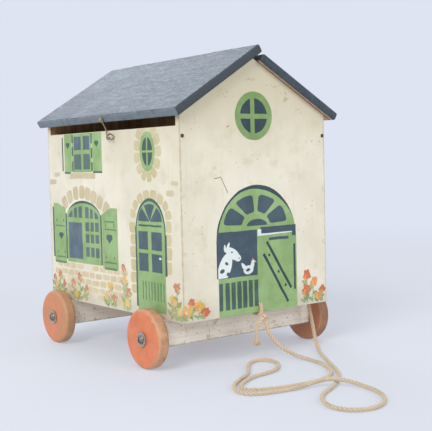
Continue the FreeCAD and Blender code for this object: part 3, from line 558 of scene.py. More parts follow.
# pull cord: out of the knot, over the floor and up through the floor board
cordRoute = [
    (0.5, -149, 43), (2, -151, 33.5), (6, -154.5, 23.5), (13, -159.5, 14), (21.5, -167, 7), (28, -177.5, 3.2),
    (29.5, -191, 2.3), (27, -205.5, 2.3), (21.5, -219, 2.3), (14, -232, 2.3), (5, -244.5, 2.3),
    (-7, -254, 2.3), (-22, -260, 2.3), (-38.5, -261.5, 2.3), (-55, -259.5, 2.3), (-71, -256, 2.3),
    (-85.5, -252, 2.3),
    (-96.5, -247, 2.3), (-103, -239.5, 2.3), (-102, -230, 2.3), (-94.5, -221.5, 2.3), (-83.5, -214, 2.3),
    (-71.5, -207.5, 2.3), (-59, -203.5, 2.3), (-46, -202.5, 2.3), (-31.5, -199.5, 2.3), (-18.5, -191, 2.3),
    (-8, -179, 2.3), (-3, -165.5, 2.3), (-6, -154, 2.3), (-17, -150.5, 2.3), (-29, -156.5, 2.3),
    (-39.5, -167, 2.3), (-49.5, -179, 2.3), (-61, -192, 2.3), (-75, -201.5, 2.3), (-89.5, -209.5, 2.3),
    (-102, -219.5, 2.3), (-110, -231, 2.3), (-113.5, -243, 2.3), (-109.5, -253.5, 2.3), (-99, -259.5, 2.3),
    (-86, -263, 2.3), (-73, -265.5, 2.3), (-60.5, -267.5, 2.6), (-48.5, -270, 4.8), (-37.5, -273.5, 7.4),
    (-26.5, -281.5, 7.6), (-17.5, -292.5, 5.4), (-13.5, -306, 2.8), (-15.5, -321, 2.3), (-23.5, -338, 2.3),
    (-37, -352.5, 2.3), (-54.5, -361.5, 2.3), (-71, -360, 2.3), (-83, -351, 2.3), (-86.5, -337.5, 2.3),
    (-82.5, -322, 2.3), (-72, -307.5, 2.3), (-58, -297, 2.3), (-43.5, -290, 2.3), (-29, -282.5, 2.3),
    (-13.5, -272, 2.3), (1, -259, 2.3), (12.5, -245.5, 2.3), (22.5, -231, 2.3), (32, -215, 2.3),
    (43, -198.5, 2.3), (54, -181.5, 2.3), (66.5, -164.5, 2.3), (79, -149.5, 2.3), (88, -138.5, 2.6),
    (94, -130, 6), (97, -124.8, 14.5), (96.6, -122.5, 25), (94.5, -121.5, 36), (92.2, -121.2, 47),
    (90, -121.3, 58.5), (88.9, -121.5, 66), (88.5, -121.5, 74),
]
pullCord, cordSpots = makeRope("pull_cord_rope", cordRoute, "house", "pull_cord")

# loop through the gable's hole and round its lower edge
loopRoute = [
    (0, -143.7, 57.4), (0, -143.7, 52.6), (0, -143.7, 49.3), (0, -140.4, 49.3), (0, -135.1, 49.3),
    (0, -131.8, 49.3), (0, -131.8, 52.6), (0, -131.8, 57.2), (0, -131.8, 60.5), (0, -135.1, 60.5),
    (0, -140.4, 60.5), (0, -143.7, 60.5)]
cordLoop = makeRope("cord_loop_rope", loopRoute, "house", "cord_loop", True)[0]

# overhand knots, each a closed line of three lobes round "axis"
knots = {
    "cord_knot": {"middle": (0.5, -146.7, 46.3), "axis": (1, 0, 0.35), "size": 1.12, "rise": 1.5},
    "cord_stop_knot": {"middle": (88.5, -121.5, 76.7), "axis": (0, 0, 1), "size": 1.12, "rise": 0.55}}
knotSteps = 18


def knotRoute(knot):
    lean = Vector(knot["axis"]).to_track_quat("Z", "Y").to_matrix()
    route = []
    for step in range(knotSteps):
        turn = step * math.tau / knotSteps
        bend = Vector((math.sin(turn) + 2 * math.sin(2 * turn), math.cos(turn) - 2 * math.cos(2 * turn), 0))
        bend = bend * knot["size"] + Vector((0, 0, -knot["rise"] * math.sin(3 * turn)))
        route.append(Vector(knot["middle"]) + lean @ bend)
    return route


frontKnot = makeRope("cord_knot_rope", knotRoute(knots["cord_knot"]), "house", "cord_knot", True)[0]
stopKnot = makeRope("stop_knot_rope", knotRoute(knots["cord_stop_knot"]), "house", "cord_stop_knot", True)[0]

# short tail under the knot, its end unravelled
tailRoute = [
    (-1, -147.3, 47), (-7, -148, 42), (-10.8, -147.8, 34.6), (-11.2, -147.2, 27), (-10.3, -146.6, 20.5)]
fray = {
    "count": 46, "spread": 4.2, "flat": 0.8, "drop": 4.0, "least": 0.55, "root": 0.5, "rootRise": 2.5,
    "middle": 0.85, "aside": 0.4, "thick": 0.26, "seed": 4}


def frayMesh(tip, part):
    dice = random.Random(part["seed"])
    lines = []
    for k in range(part["count"]):
        side = Vector((dice.uniform(-1, 1), dice.uniform(-1, 1) * part["flat"], 0)) * part["spread"]
        fall = part["drop"] * dice.uniform(part["least"], 1)
        root = tip + (side * part["root"] + Vector((0, 0, part["rootRise"]))) / perMetre
        middle = tip + (side * part["middle"]) / perMetre
        lines.append([root, middle, tip + (side + Vector((part["aside"], 0, -fall))) / perMetre])
    return tubeMesh(lines, part["thick"], 0)


tailTip = Vector(tailRoute[-1]) / perMetre
cordTail = makeRope("cord_tail_rope", tailRoute, "house", "cord_tail", False, frayMesh(tailTip, fray))[0]
cordLength = sum((b - a).length for a, b in zip(cordSpots, cordSpots[1:]))
print("cord roped:", round(cordLength, 4), "m")


# flat shapes for the paint, in millimetres on the board; a "whole" plate is one face
brush = {
    "cell": 6, "strokeCell": 4, "whole": 100, "steps": 36, "dabSteps": 14, "lift": 0.35, "turnStep": 6,
    "leastSteps": 4, "archSteps": 56, "near": 0.001, "stoneRound": 0.28, "bevels": 2, "bevelForm": 0.5}


def resize(shape, wide, high):
    bmesh.ops.scale(shape, vec=(wide, high, 1), verts=shape.verts[:])


def setDown(shape, x, z, turn=0):
    spin = Matrix.Rotation(math.radians(turn), 3, "Z")
    bmesh.ops.rotate(shape, cent=(0, 0, 0), matrix=spin, verts=shape.verts[:])
    bmesh.ops.translate(shape, vec=(x, z, 0), verts=shape.verts[:])
    return shape


def plate(left, low, right, high, cell=brush["cell"]):
    across, up = (max(1, round(side / cell)) for side in (right - left, high - low))
    shape = bmesh.new()
    bmesh.ops.create_grid(shape, x_segments=across, y_segments=up, size=0.5)
    resize(shape, right - left, high - low)
    return setDown(shape, (left + right) / 2, (low + high) / 2)


def oval(x, z, wide, high, turn=0, steps=brush["steps"]):
    shape = bmesh.new()
    bmesh.ops.create_circle(shape, cap_ends=True, segments=steps, radius=1)
    resize(shape, wide, high)
    return setDown(shape, x, z, turn)


def dab(x, z, long, broad, turn=0):
    shape = oval(0, 0, long, broad, 0, brush["dabSteps"])
    for vert in shape.verts:
        vert.co.y *= 1 - brush["lift"] * max(0, vert.co.x / long)  # brush lifts off at the far end
    return setDown(shape, x, z, turn)


def stroke(start, end, width):
    run = Vector(end) - Vector(start)
    shape = plate(-run.length / 2, -width / 2, run.length / 2, width / 2, brush["strokeCell"])
    middle = (Vector(start) + Vector(end)) / 2
    return setDown(shape, middle.x, middle.y, math.degrees(math.atan2(run.y, run.x)))


def roundOff(shape, corners, offset):
    bmesh.ops.bevel(shape, geom=corners, offset=offset, segments=brush["bevels"],
                    profile=brush["bevelForm"], affect="VERTICES", material=-1)


def wedge(x, z, wide, high, inner, begin, end, soft=0):
    shape = bmesh.new()
    first = Matrix.Rotation(math.radians(begin), 3, "Z")
    near = shape.verts.new(first @ Vector((inner, 0, 0)))
    far = shape.verts.new(first @ Vector((1, 0, 0)))
    edge = shape.edges.new((near, far))
    steps = max(brush["leastSteps"], round((end - begin) / brush["turnStep"]))
    bmesh.ops.spin(shape, geom=[near, far, edge], cent=(0, 0, 0), axis=(0, 0, 1), dvec=(0, 0, 0),
                   angle=math.radians(end - begin), steps=steps, use_merge=False)
    if soft:
        roundOff(shape, [vert for vert in shape.verts if len(vert.link_edges) == 2], soft)
    resize(shape, wide, high)
    return setDown(shape, x, z)


def trim(shape, spot, outward):
    bmesh.ops.bisect_plane(shape, geom=shape.verts[:] + shape.edges[:] + shape.faces[:], clear_outer=True,
                           plane_co=(spot[0], spot[1], 0), plane_no=(outward[0], outward[1], 0))
    return shape


def cut(make, spot, outward):
    return lambda *size: trim(make(*size), spot, outward)


def arch(left, right, spring, top, low, peak=None):
    middle = (left + right) / 2 if peak is None else peak
    shape = oval(0, 0, 1, top - spring, 0, brush["archSteps"])
    for vert in shape.verts:
        vert.co.x *= right - middle if vert.co.x > 0 else middle - left
    setDown(shape, middle, spring)
    trim(shape, (0, spring), (0, -1))
    lowest = {vert for vert in shape.verts if abs(vert.co.y - spring) < brush["near"]}
    foot = [edge for edge in shape.edges if lowest.issuperset(edge.verts)]
    made = bmesh.ops.extrude_edge_only(shape, edges=foot)
    drop = [item for item in made["geom"] if isinstance(item, bmesh.types.BMVert)]
    bmesh.ops.translate(shape, vec=(0, low - spring, 0), verts=drop)
    return shape


def stone(x, z, wide, high, turn=0):
    shape = plate(-wide / 2, -high / 2, wide / 2, high / 2, brush["whole"])
    roundOff(shape, shape.verts[:], min(wide, high) * brush["stoneRound"])
    return setDown(shape, x, z, turn)


# sizes for a ring of stones: "arc" is the angle they fill, "ringFill" how much of it is stone
ringFill = 0.88


def ringStones(middle, ring, count, arc, deep, highest=math.inf):
    pitch = arc / count
    sizes = []
    for k in range(count):
        turn = pitch * (k + 0.5)
        across = Vector((-ring[0] * math.sin(turn), ring[1] * math.cos(turn)))
        spot = Vector(middle) + Vector((ring[0] * math.cos(turn), ring[1] * math.sin(turn)))
        lean = math.degrees(math.atan2(across.y, across.x))
        if spot.y < highest:
            sizes.append((spot.x, spot.y, across.length * pitch * ringFill, deep, lean))
    return sizes


# paint film: a thin solid on the board, its outline a little unsteady
film = {
    "under": 0.08, "over": 0.18, "top": 0.28, "crown": 0.38, "cap": 0.48, "step": 0.0021, "steps": 47,
    "sink": 0.02, "sway": 0.4, "swayStep": 10, "seed": 5}
milli = 1 / perMetre
frontBoard = Matrix(((milli, 0, 0, 0), (0, 0, -milli, -facade["halfLength"]), (0, milli, 0, 0), (0, 0, 0, 1)))
leftBoard = Matrix(((0, 0, -milli, -facade["halfWidth"]), (milli, 0, 0, 0), (0, milli, 0, 0), (0, 0, 0, 1)))
# without a seed, noise_vector differs at each start of Blender
noise.seed_set(film["seed"])


def startArt(board, seed):
    return {"mesh": bmesh.new(), "board": board, "seed": seed, "tones": [], "count": 0}


def layPaint(art, shape, paint, level="under", sway=1.0):
    if paint not in art["tones"]:
        art["tones"].append(paint)
    for vert in shape.verts:
        spot = Vector((vert.co.x / film["swayStep"], vert.co.y / film["swayStep"], art["seed"]))
        drift = noise.noise_vector(spot)
        vert.co += Vector((drift.x, drift.y, 0)) * film["sway"] * sway
    for face in shape.faces:
        face.material_index = art["tones"].index(paint)
    bmesh.ops.translate(shape, vec=(0, 0, -film["sink"]), verts=shape.verts[:])
    made = bmesh.ops.extrude_face_region(shape, geom=shape.faces[:], use_keep_orig=True)
    lifted = [item for item in made["geom"] if isinstance(item, bmesh.types.BMVert)]
    lift = film[level] + film["step"] * (art["count"] % film["steps"])  # no two films meet at one height
    art["count"] += 1
    bmesh.ops.translate(shape, vec=(0, 0, lift + film["sink"]), verts=lifted)
    bmesh.ops.recalc_face_normals(shape, faces=shape.faces[:])
    bmesh.ops.transform(shape, matrix=art["board"], verts=shape.verts[:])
    if art["board"].determinant() < 0:
        bmesh.ops.reverse_faces(shape, faces=shape.faces[:])
    part = bpy.data.meshes.new("shape")
    shape.to_mesh(part)
    shape.free()
    art["mesh"].from_mesh(part)
    bpy.data.meshes.remove(part)


def finishArt(art, name):
    made = bpy.data.meshes.new(name)
    art["mesh"].to_mesh(made)
    art["mesh"].free()
    for paint in art["tones"]:
        made.materials.append(paints[paint])
    piece = addObject(name, made)
    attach(piece, "house")
    print(name, len(made.polygons), "faces")


# thin stencil paints, patchy and rubbed through to the cream in specks: two tones, how far rubbed
paintTones = {
    "green": ("#97B67B", "#86A669", 0.12), "ringGreen": ("#839F64", "#749255", 0.12),
    "deepGreen": ("#64855A", "#56774F", 0.15), "teal": ("#46625A", "#38524A", 0.1),
    "slate": ("#445763", "#394B57", 0.06), "ink": ("#314649", "#283C40", 0.05),
    "night": ("#263A42", "#1F333B", 0.05), "murk": ("#42574F", "#374B46", 0.08),
    "pane": ("#5C6E7C", "#50626F", 0.08), "smallPane": ("#5C726D", "#526965", 0.1),
    "dusk": ("#4C606A", "#42565F", 0.06), "white": ("#E6EDEA", "#D8E1DE", 0.0),
    "stone": ("#CFC2A2", "#C7B794", 0.25), "sand": ("#CDC29B", "#C5B88E", 0.2),
    "blush": ("#DACBAA", "#D2BF9A", 0.3), "red": ("#C26242", "#D27A56", 0.2),
    "orange": ("#DA8850", "#E29A60", 0.25), "yellow": ("#DCA44E", "#E3B468", 0.25),
    "leaf": ("#88A26F", "#9CB383", 0.22), "deepLeaf": ("#6F8F58", "#80A069", 0.15),
    "rust": ("#BF7F60", "#CF957A", 0.3), "amber": ("#DFAA66", "#E6BA7C", 0.3),
    "straw": ("#DDB75C", "#E4C678", 0.3), "olive": ("#9FAA78", "#AFB88A", 0.25),
    "moss": ("#8C9C66", "#9DAB79", 0.2), "scratch": ("#96714D", "#B59468", 0.5),
    "chip": ("#B9A88C", "#A08A69", 0.3)}
paintLook = {
    "cream": facade["cream"], "inputs": {"Roughness": 0.6},
    "clouds": {"patch": (None, 45, 4, 0.6), "speck": (None, 320, 4, 0.65)},
    "base": ("patch", "first", "second", 0.35, 0.68), "rough": ("patch", 0.3, 0.7, 0.52, 0.66),
    "bump": (("speck",), 0.15, 0.0001)}


def makePaint(name, first, second, worn):
    layers = (("speck", "cream", 0.58, 0.74, 0, worn),)
    return makeFinish("stencil_" + name, {**paintLook, "first": first, "second": second, "layers": layers})


paints = {name: makePaint(name, *shades) for name, shades in paintTones.items()}


# heart cut in a shutter: lobes and point as shares of its size
heartShape = {"lobe": (0.62, 0.58), "aside": 0.5, "rise": 0.3, "point": 0.62, "steps": 18, "turn": 45}


def heart(art, y, z, size):
    wide, high = (size * share for share in heartShape["lobe"])
    aside, rise, point = (size * heartShape[key] for key in ("aside", "rise", "point"))
    for side in (-1, 1):
        lobe = oval(y + side * aside, z + rise, wide, high, 0, heartShape["steps"])
        layPaint(art, lobe, "teal", "top")
    square = plate(-point, -point, point, point, brush["whole"])
    layPaint(art, setDown(square, y, z, heartShape["turn"]), "teal", "top")


# a picture's rows, laid in order: paint, level, sway, shape, then the sizes of each one
def makePicture(name, board, seed, rows, hearts=()):
    art = startArt(board, seed)
    for paint, level, sway, make, *sizes in rows.values():
        for size in sizes:
            layPaint(art, make(*size), paint, level, sway)
    for spot in hearts:
        heart(art, *spot)
    finishArt(art, name)


# round window high in the gable
roundWindow = {
    "ring": ("ringGreen", "under", 1, oval, (-3.3, 264.7, 26, 26, 0, 56)),
    "glass": ("night", "over", 1, oval, (-3.3, 264.7, 18.8, 18.8, 0, 48)),
    "bars": ("ringGreen", "top", 1, plate, (-8, 244.7, -2.2, 284.7), (-23.3, 261.6, 16.7, 266.8))}
makePicture("round_window_paint", frontBoard, 1, roundWindow)


# stable door: arched head with a fanlight, open half over a slatted gate, braced leaf on the right
doorFan = (-3, 147.2, 44.8, 32.8, 0.44)
fanTurns = ((3.36, 39.4), (50.6, 84.4), (95.6, 129.4), (140.6, 176.64))
slots = ((-55.7, -50.8), (-47.2, -41.4), (-39, -33.4), (-31, -25.4), (-23.4, -17.6), (-15, -9.4), (-7, -1.6))
nailSpots = ((15, 113), (28.5, 94), (38.5, 78))
stableDoor = {
    "outline": ("ink", "under", 1.2, arch, (-58, 55.3, 131, 190.7, 93)),
    "frame": ("green", "over", 0.6, cut(arch, (-56.6, 142), (-1, -0.01)), (-56, 55.9, 131, 186.4, 52, -6)),
    "fan": ("slate", "top", 1, wedge, *((*doorFan, begin, end, 0.08) for begin, end in fanTurns)),
    "moon": ("slate", "top", 1, cut(oval, (0, 146.6), (0, -1)), (-1.4, 146.6, 14.5, 7)),
    "opening": (
        "slate", "top", 1, plate, (-57, 93, -2, 142), (3, 137.2, 53, 144.5), (49.8, 132.5, 55, 144.6)),
    "slots": ("teal", "top", 1, plate, *((begin, 59, end, 88) for begin, end in slots)),
    "sill": ("white", "crown", 1, cut(plate, (-1, 135), (0.028, -1)), (-1, 135, 49.6, 137.4)),
    "post": ("white", "crown", 1, plate, (-0.8, 135.2, 4, 142)),
    "strap": ("slate", "top", 1, plate, (15, 129.3, 44, 132.6)),
    "braces": ("ink", "top", 1, stroke, ((12, 128), (47, 74), 3.2), ((7, 115), (42, 59), 3.2)),
    "nails": ("ink", "top", 1, oval, *((x, z, 1.6, 1.6, 0, 12) for x, z in nailSpots)),
    "edge": ("ink", "top", 1, plate, (51.2, 72, 53.8, 123))}
makePicture("stable_door_paint", frontBoard, 2, stableDoor)


# a pony's head over the gate and a hen on the rail, kept inside the opening
def inOpening(make):
    return cut(cut(make, (-56.4, 0), (-1, 0)), (0, 93.4), (0, -1))


ovalIn = inOpening(oval)
dabIn = inOpening(dab)
barnAnimals = {
    "pony": ("white", "under", 0.5, ovalIn, (-47.5, 104, 8.2, 17, -24), (-36.5, 118.5, 10.5, 5.4, -32),
             (-29.6, 113.6, 4.6, 3.8, -20)),
    "ears": ("white", "under", 0.5, dabIn, (-42.6, 126.6, 4.8, 1.8, 68), (-46.8, 124.8, 4.2, 1.6, 96)),
    "marks": ("slate", "over", 0.5, ovalIn, (-37.6, 120.2, 1.1, 0.9, 0, 12), (-27.6, 113.2, 0.8, 0.6, 0, 12),
              (-51, 101, 3.2, 2.2, 20, 16), (-45, 108.6, 2.4, 1.6, -30, 16), (-43.4, 97.4, 2.2, 1.8, 40, 16)),
    "hen": ("white", "under", 0.5, ovalIn, (-15, 99.6, 7, 4.8, 8)),
    "tail": ("white", "under", 0.5, dabIn, (-21.5, 103.6, 5, 2.4, 128)),
    "neck": ("white", "under", 0.5, ovalIn, (-9.6, 104, 2.6, 4.2, -18, 20), (-8.4, 108, 2.4, 2.2, 0, 16)),
    "comb": ("red", "over", 0.5, dabIn, (-8.8, 110.8, 1.6, 0.9, 80)),
    "beak": ("yellow", "over", 0.5, dabIn, (-5.6, 107.8, 1.6, 0.8, -6)),
    "wing": ("slate", "over", 0.5, ovalIn, (-15.6, 99.6, 3, 1.6, 14, 16))}
makePicture("barn_animal_paint", frontBoard @ Matrix.Translation((0, 0, film["top"])), 3, barnAnimals)


# a sprig: bent stem, leaves in turn, a loose bloom of dabs, one of them in the bloom's mate
mates = {
    "red": "orange", "orange": "yellow", "yellow": "orange", "rust": "amber", "amber": "straw",
    "straw": "amber"}
plant = {
    "foot": 54, "bendAt": 0.55, "bend": 1.2, "stem": (1.5, 1.2), "leafFrom": 0.4, "leafTo": 0.5,
    "leaf": (3.2, 5), "leafOut": 0.75, "leafRise": 1.4, "leafBroad": (0.38, 0.52), "leafTurn": (38, 68),
    "petals": 6, "pitch": 60, "mated": 4, "stray": 26, "petalOut": (0.3, 0.55), "petalLong": (0.38, 0.62),
    "petalBroad": (0.28, 0.44), "twist": 40}


def sprig(art, dice, x, height, lean, bloom, size, leaves, greens):
    start = Vector((x, plant["foot"]))
    tip = start + Vector((lean, height))
    bend = start.lerp(tip, plant["bendAt"]) + Vector((dice.uniform(-plant["bend"], plant["bend"]), 0))
    layPaint(art, stroke(start, bend, plant["stem"][0]), greens[0])
    layPaint(art, stroke(bend, tip, plant["stem"][1]), greens[0])
    for k in range(leaves):
        spot = start.lerp(tip, (k + plant["leafFrom"]) / (leaves + plant["leafTo"]))
        side = 1 if k % 2 else -1
        long = dice.uniform(*plant["leaf"])
        broad = long * dice.uniform(*plant["leafBroad"])
        turn = 90 - side * dice.uniform(*plant["leafTurn"])
        leaf = dab(spot.x + side * long * plant["leafOut"], spot.y + plant["leafRise"], long, broad, turn)
        layPaint(art, leaf, dice.choice(greens))
    for k in range(plant["petals"]):
        turn = plant["pitch"] * k + dice.uniform(-plant["stray"], plant["stray"])
        aim = Vector((math.cos(math.radians(turn)), math.sin(math.radians(turn))))
        reach = aim * size * dice.uniform(*plant["petalOut"])
        long = size * dice.uniform(*plant["petalLong"])
        broad = size * dice.uniform(*plant["petalBroad"])
        twist = turn + dice.uniform(-plant["twist"], plant["twist"])
        petal = dab(tip.x + reach.x, tip.y + reach.y, long, broad, twist)
        layPaint(art, petal, mates[bloom] if k == plant["mated"] else bloom, "over")


def makeFlowers(name, board, seed, part):
    art = startArt(board, seed)
    dice = random.Random(part["seed"])
    for row in part["rows"]:
        sprig(art, dice, *row, part["rightLeaves"] if row[0] > 0 else part["leftLeaves"], part["greens"])
    finishArt(art, name)


# flowers at the foot of the gable: x, height, lean, bloom, size
gableFlowers = {
    "seed": 21, "leftLeaves": 2, "rightLeaves": 3, "greens": ("leaf", "leaf", "deepLeaf"), "rows": (
        (-97.5, 9.5, 1, "yellow", 8), (-91, 18.5, -1, "red", 5.2), (-84, 13.5, 2, "yellow", 8),
        (-76, 6.5, 2, "red", 6.4), (68, 14.5, 2, "red", 7.4), (72, 32, -1, "red", 7.6),
        (80, 24, 2, "orange", 6.8), (88, 7, 1, "orange", 6.4), (95, 14, 1, "red", 6))}
makeFlowers("gable_flower_paint", frontBoard, 4, gableFlowers)


# scuffs through the gable's paint: start, end, width; chips: middle, spread, how many
scuffs = (
    ((-59, 198.5), (-50, 200.5), 0.9), ((-50, 200), (-41, 183), 0.8), ((40, 281), (46, 284), 0.7),
    ((42, 292), (45, 288), 0.6), ((-41, 252.5), (-38, 254), 1.0))
chips = {"outline": 5, "seed": 12, "scatter": 0.5, "long": (0.4, 1.2), "broad": (0.25, 0.5), "groups": (
    ((-7, 303), (7, 3), 12), ((26, 297), (8, 6), 8), ((43, 286), (5, 7), 10), ((62, 272), (5, 4), 6),
    ((-40, 286), (14, 6), 7), ((-80, 254), (10, 6), 5), ((80, 232), (16, 16), 9), ((-20, 222), (40, 14), 8),
    ((74, 150), (12, 40), 9), ((-82, 150), (14, 50), 9))}


def makeScuffs(rows, part):
    art = startArt(frontBoard, part["outline"])
    for row in rows:
        layPaint(art, stroke(*row), "scratch")
    dice = random.Random(part["seed"])
    for middle, spread, count in part["groups"]:
        for k in range(count):
            x = middle[0] + dice.gauss(0, part["scatter"]) * spread[0]
            z = middle[1] + dice.gauss(0, part["scatter"]) * spread[1]
            long = dice.uniform(*part["long"])
            broad = dice.uniform(*part["broad"])
            layPaint(art, dab(x, z, long, broad, dice.uniform(0, 180)), "chip")
    finishArt(art, "gable_scuffs")


makeScuffs(scuffs, chips)


# oval window near the front of the long wall, ringed with stones that stop under the eave
ovalWindow = {
    "stones": ("sand", "under", 1.6, cut(stone, (0, 253.2), (0, 1)),
               *ringStones((-81.5, 229), (20.2, 27.2), 13, math.tau, 11.6, 255.2)),
    "frame": ("green", "under", 1, oval, (-81.5, 229, 14.4, 21.4)),
    "glass": ("murk", "over", 1, oval, (-81.5, 229, 9.8, 15.2)),
    "bars": ("green", "top", 1, plate, (-82.6, 212, -80.4, 246), (-93.5, 227.9, -69.5, 230.1))}
makePicture("oval_window_paint", leftBoard, 6, ovalWindow)


# upper window with shutters, right under the eave
upperWindow = {
    "sill": ("stone", "under", 1, plate, (28, 200, 88, 206.6)),
    "frame": ("green", "under", 1, plate, (35, 207.5, 81, 253.5)),
    "shutters": ("green", "under", 1, plate, (12, 208, 33.5, 253.5), (82, 208, 99.5, 253.5)),
    "lowPanes": ("smallPane", "over", 1, plate, (39, 211, 54, 229), (59.5, 211, 76, 229)),
    "highPanes": ("pane", "over", 1, plate, (39, 234, 54, 250), (59.5, 234, 76, 250)),
    "lines": ("teal", "over", 1, plate, (33.6, 209, 36, 219), (33.6, 224, 36, 236), (33.6, 241, 36, 253),
              (78.6, 209, 81.2, 221), (78.6, 227, 81.2, 238), (78.6, 243, 81.2, 253), (12, 206.6, 32, 208.6),
              (86, 206, 100, 208), (103, 209, 105.4, 250))}
makePicture("upper_window_paint", leftBoard, 7, upperWindow, ((23, 240.5, 4), (91, 239.5, 4)))


# broad arched window, shutters with falling tops, stones over the arch
windowArch = (18.5, 98.5, 152.5, 170.8)
fanBars = ((33.5, 3.6), (43.5, 3), (57, 7.5), (71, 3.6), (82, 3.6))
fanFoot = 152.9
fanSpare = 1
paneAcross = ((23.2, 31.2), (34.4, 42), (45.4, 53.6))
paneUp = ((138, 148.6), (124.2, 134.6), (107.6, 119))
straps = ((-11, 10, 151), (-14, 10, 142), (-14, 11, 104), (105, 127, 142), (104, 126, 103.5))
strapHalf = 0.8
archStones = (
    (6, 166, 34), (20, 172.5, 26), (33.5, 178, 16), (46.5, 182, 8), (60, 184, 0), (75, 182.5, -8),
    (90, 178, -18), (103, 171, -30))


def fanBar(y, width):
    left, right, spring, top = windowArch
    aside = (2 * y - left - right) / (right - left)
    head = spring + (top - spring) * math.sqrt(1 - aside * aside) - fanSpare
    return plate(y - width / 2, fanFoot, y + width / 2, head)


archWindow = {
    "stones": ("stone", "under", 2, stone, *((y, z, 12.8, 15.5, turn) for y, z, turn in archStones)),
    "line": ("teal", "under", 0.6, arch, (18.5, 98.5, 152.5, 173.8, 151.5)),
    "frame": ("green", "over", 0.6, arch, (*windowArch, 99)),
    "fan": ("smallPane", "top", 1, cut(arch, (0, 153.3), (0, -1)), (23, 95, 151.5, 167, 150)),
    "fanBars": ("green", "crown", 1, fanBar, *fanBars),
    "panes": ("smallPane", "top", 1, plate,
              *((begin, low, end, high) for begin, end in paneAcross for low, high in paneUp)),
    "opening": ("pane", "top", 1, plate, (62, 104, 94.5, 147.5)),
    "nearShutter": ("green", "over", 1, cut(plate, (-2, 166), (0.4, 1)), (-17.5, 97.5, 15.5, 166.5)),
    "farShutter": ("green", "over", 1, cut(plate, (118, 168.6), (-0.27, 1)), (102, 97, 131.5, 169.5)),
    "straps": ("deepGreen", "top", 1, plate,
               *((begin, z - strapHalf, end, z + strapHalf) for begin, end, z in straps)),
    "ticks": ("deepGreen", "top", 1, plate, (7.2, 144, 8.8, 149.5), (-11.2, 144, -9.6, 149.5),
              (-10.4, 108, -8.8, 111.5), (7.2, 108, 8.8, 111.5), (106, 147, 108, 150.5),
              (123.5, 147, 125.5, 150.5), (104.5, 108.5, 106.5, 112), (122, 108, 124, 111)),
    "feet": ("deepGreen", "top", 1, plate, (-15, 95.8, 12, 98.2), (103, 96, 130, 98.4)),
    "edges": (
        "teal", "top", 1, plate, (16.6, 100, 18.8, 158), (99.2, 102, 101.2, 158), (131.6, 103, 134.2, 165))}
makePicture("arch_window_paint", leftBoard, 8, archWindow, ((0, 131.2, 6), (114, 129.5, 5)))


# house door in the long wall, its stones tilted a little this way and that
tilt = {"step": 7, "seed": 3, "most": 14}
doorLight = (-83.5, 154.2, 22.6, 19, 0.08)
slats = (-107, -101.5, -96, -90, -84.5, -79, -73, -67.5)
slatHalf = 0.9


def tilted(y, z, wide, high):
    turn = noise.noise(Vector((y / tilt["step"], z / tilt["step"], tilt["seed"]))) * tilt["most"]
    return stone(y, z, wide, high, turn)


houseDoor = {
    "stones": ("sand", "under", 2, tilted, (-49, 147, 12.5, 12), (-49.6, 134, 11.5, 11.5),
               (-49, 120.5, 12.5, 13), (-49.8, 105.8, 11, 13), (-49.2, 91.8, 12, 12), (-50, 79.5, 10.5, 9.5),
               (-117.6, 150, 10.5, 12), (-117.2, 136, 10, 13), (-117.6, 121.4, 10.5, 13),
               (-117.2, 106.6, 10, 13)),
    "ring": ("sand", "under", 1.6, stone, *ringStones((-84.2, 157), (34, 26.2), 8, math.pi, 10.5)),
    "outline": ("teal", "over", 0.6, arch, (-112.1, -55.4, 144, 179.4, 98)),
    "edges": ("teal", "over", 0.6, plate, (-57.8, 61, -54.4, 148), (-113.8, 98, -110, 141)),
    "frame": ("green", "top", 0.6, arch, (-110.5, -57.4, 144, 176, 58)),
    "fan": ("dusk", "crown", 1, wedge, (*doorLight, 2, 50), (*doorLight, 63, 113), (*doorLight, 126, 178)),
    "bar": ("teal", "crown", 1, plate, (-105.5, 149, -62, 151)),
    "panes": ("dusk", "crown", 1, plate, (-105, 124, -86, 143.5), (-79, 124, -61, 143.5),
              (-105, 100.5, -86, 120), (-79, 100.5, -61, 120)),
    "slats": ("deepGreen", "crown", 0.8, plate,
              *((slat - slatHalf, 70, slat + slatHalf, 90) for slat in slats)),
    "knob": ("white", "cap", 1, oval, (-102, 116, 2.2, 1.3, 0, 14))}
makePicture("house_door_paint", leftBoard, 9, houseDoor)


# faint courses of stone along the foot of the wall, and a few single stones
courses = {
    "outline": 10, "seed": 7, "rows": (95, 86, 77.5, 69, 61), "from": -36, "to": 138, "end": 139.5,
    "gap": 2.2, "missing": 0.14, "long": 14.5, "longVary": (0.8, 1.15), "high": 6.4,
    "highVary": (0.85, 1.1), "shift": 0.5, "sway": 1.6, "singleSway": 2,
    "single": ((-130, 195, 12, 4.5), (-122, 185, 13, 6), (120, 205, 14, 5), (131, 196, 17, 6))}


def makeCourses(part):
    art = startArt(leftBoard, part["outline"])
    dice = random.Random(part["seed"])
    for k, z in enumerate(part["rows"]):
        y = part["from"] + (k % 2) * part["long"] / 2
        while y < part["to"]:
            wide = part["long"] * dice.uniform(*part["longVary"])
            if dice.random() > part["missing"] and y + wide < part["end"]:
                middle = z + dice.uniform(-part["shift"], part["shift"])
                high = part["high"] * dice.uniform(*part["highVary"])
                layPaint(art, stone(y + wide / 2, middle, wide, high), "blush", "under", part["sway"])
            y += wide + part["gap"]
    for row in part["single"]:
        layPaint(art, stone(*row), "stone", "under", part["singleSway"])
    finishArt(art, "stone_course_paint")


makeCourses(courses)


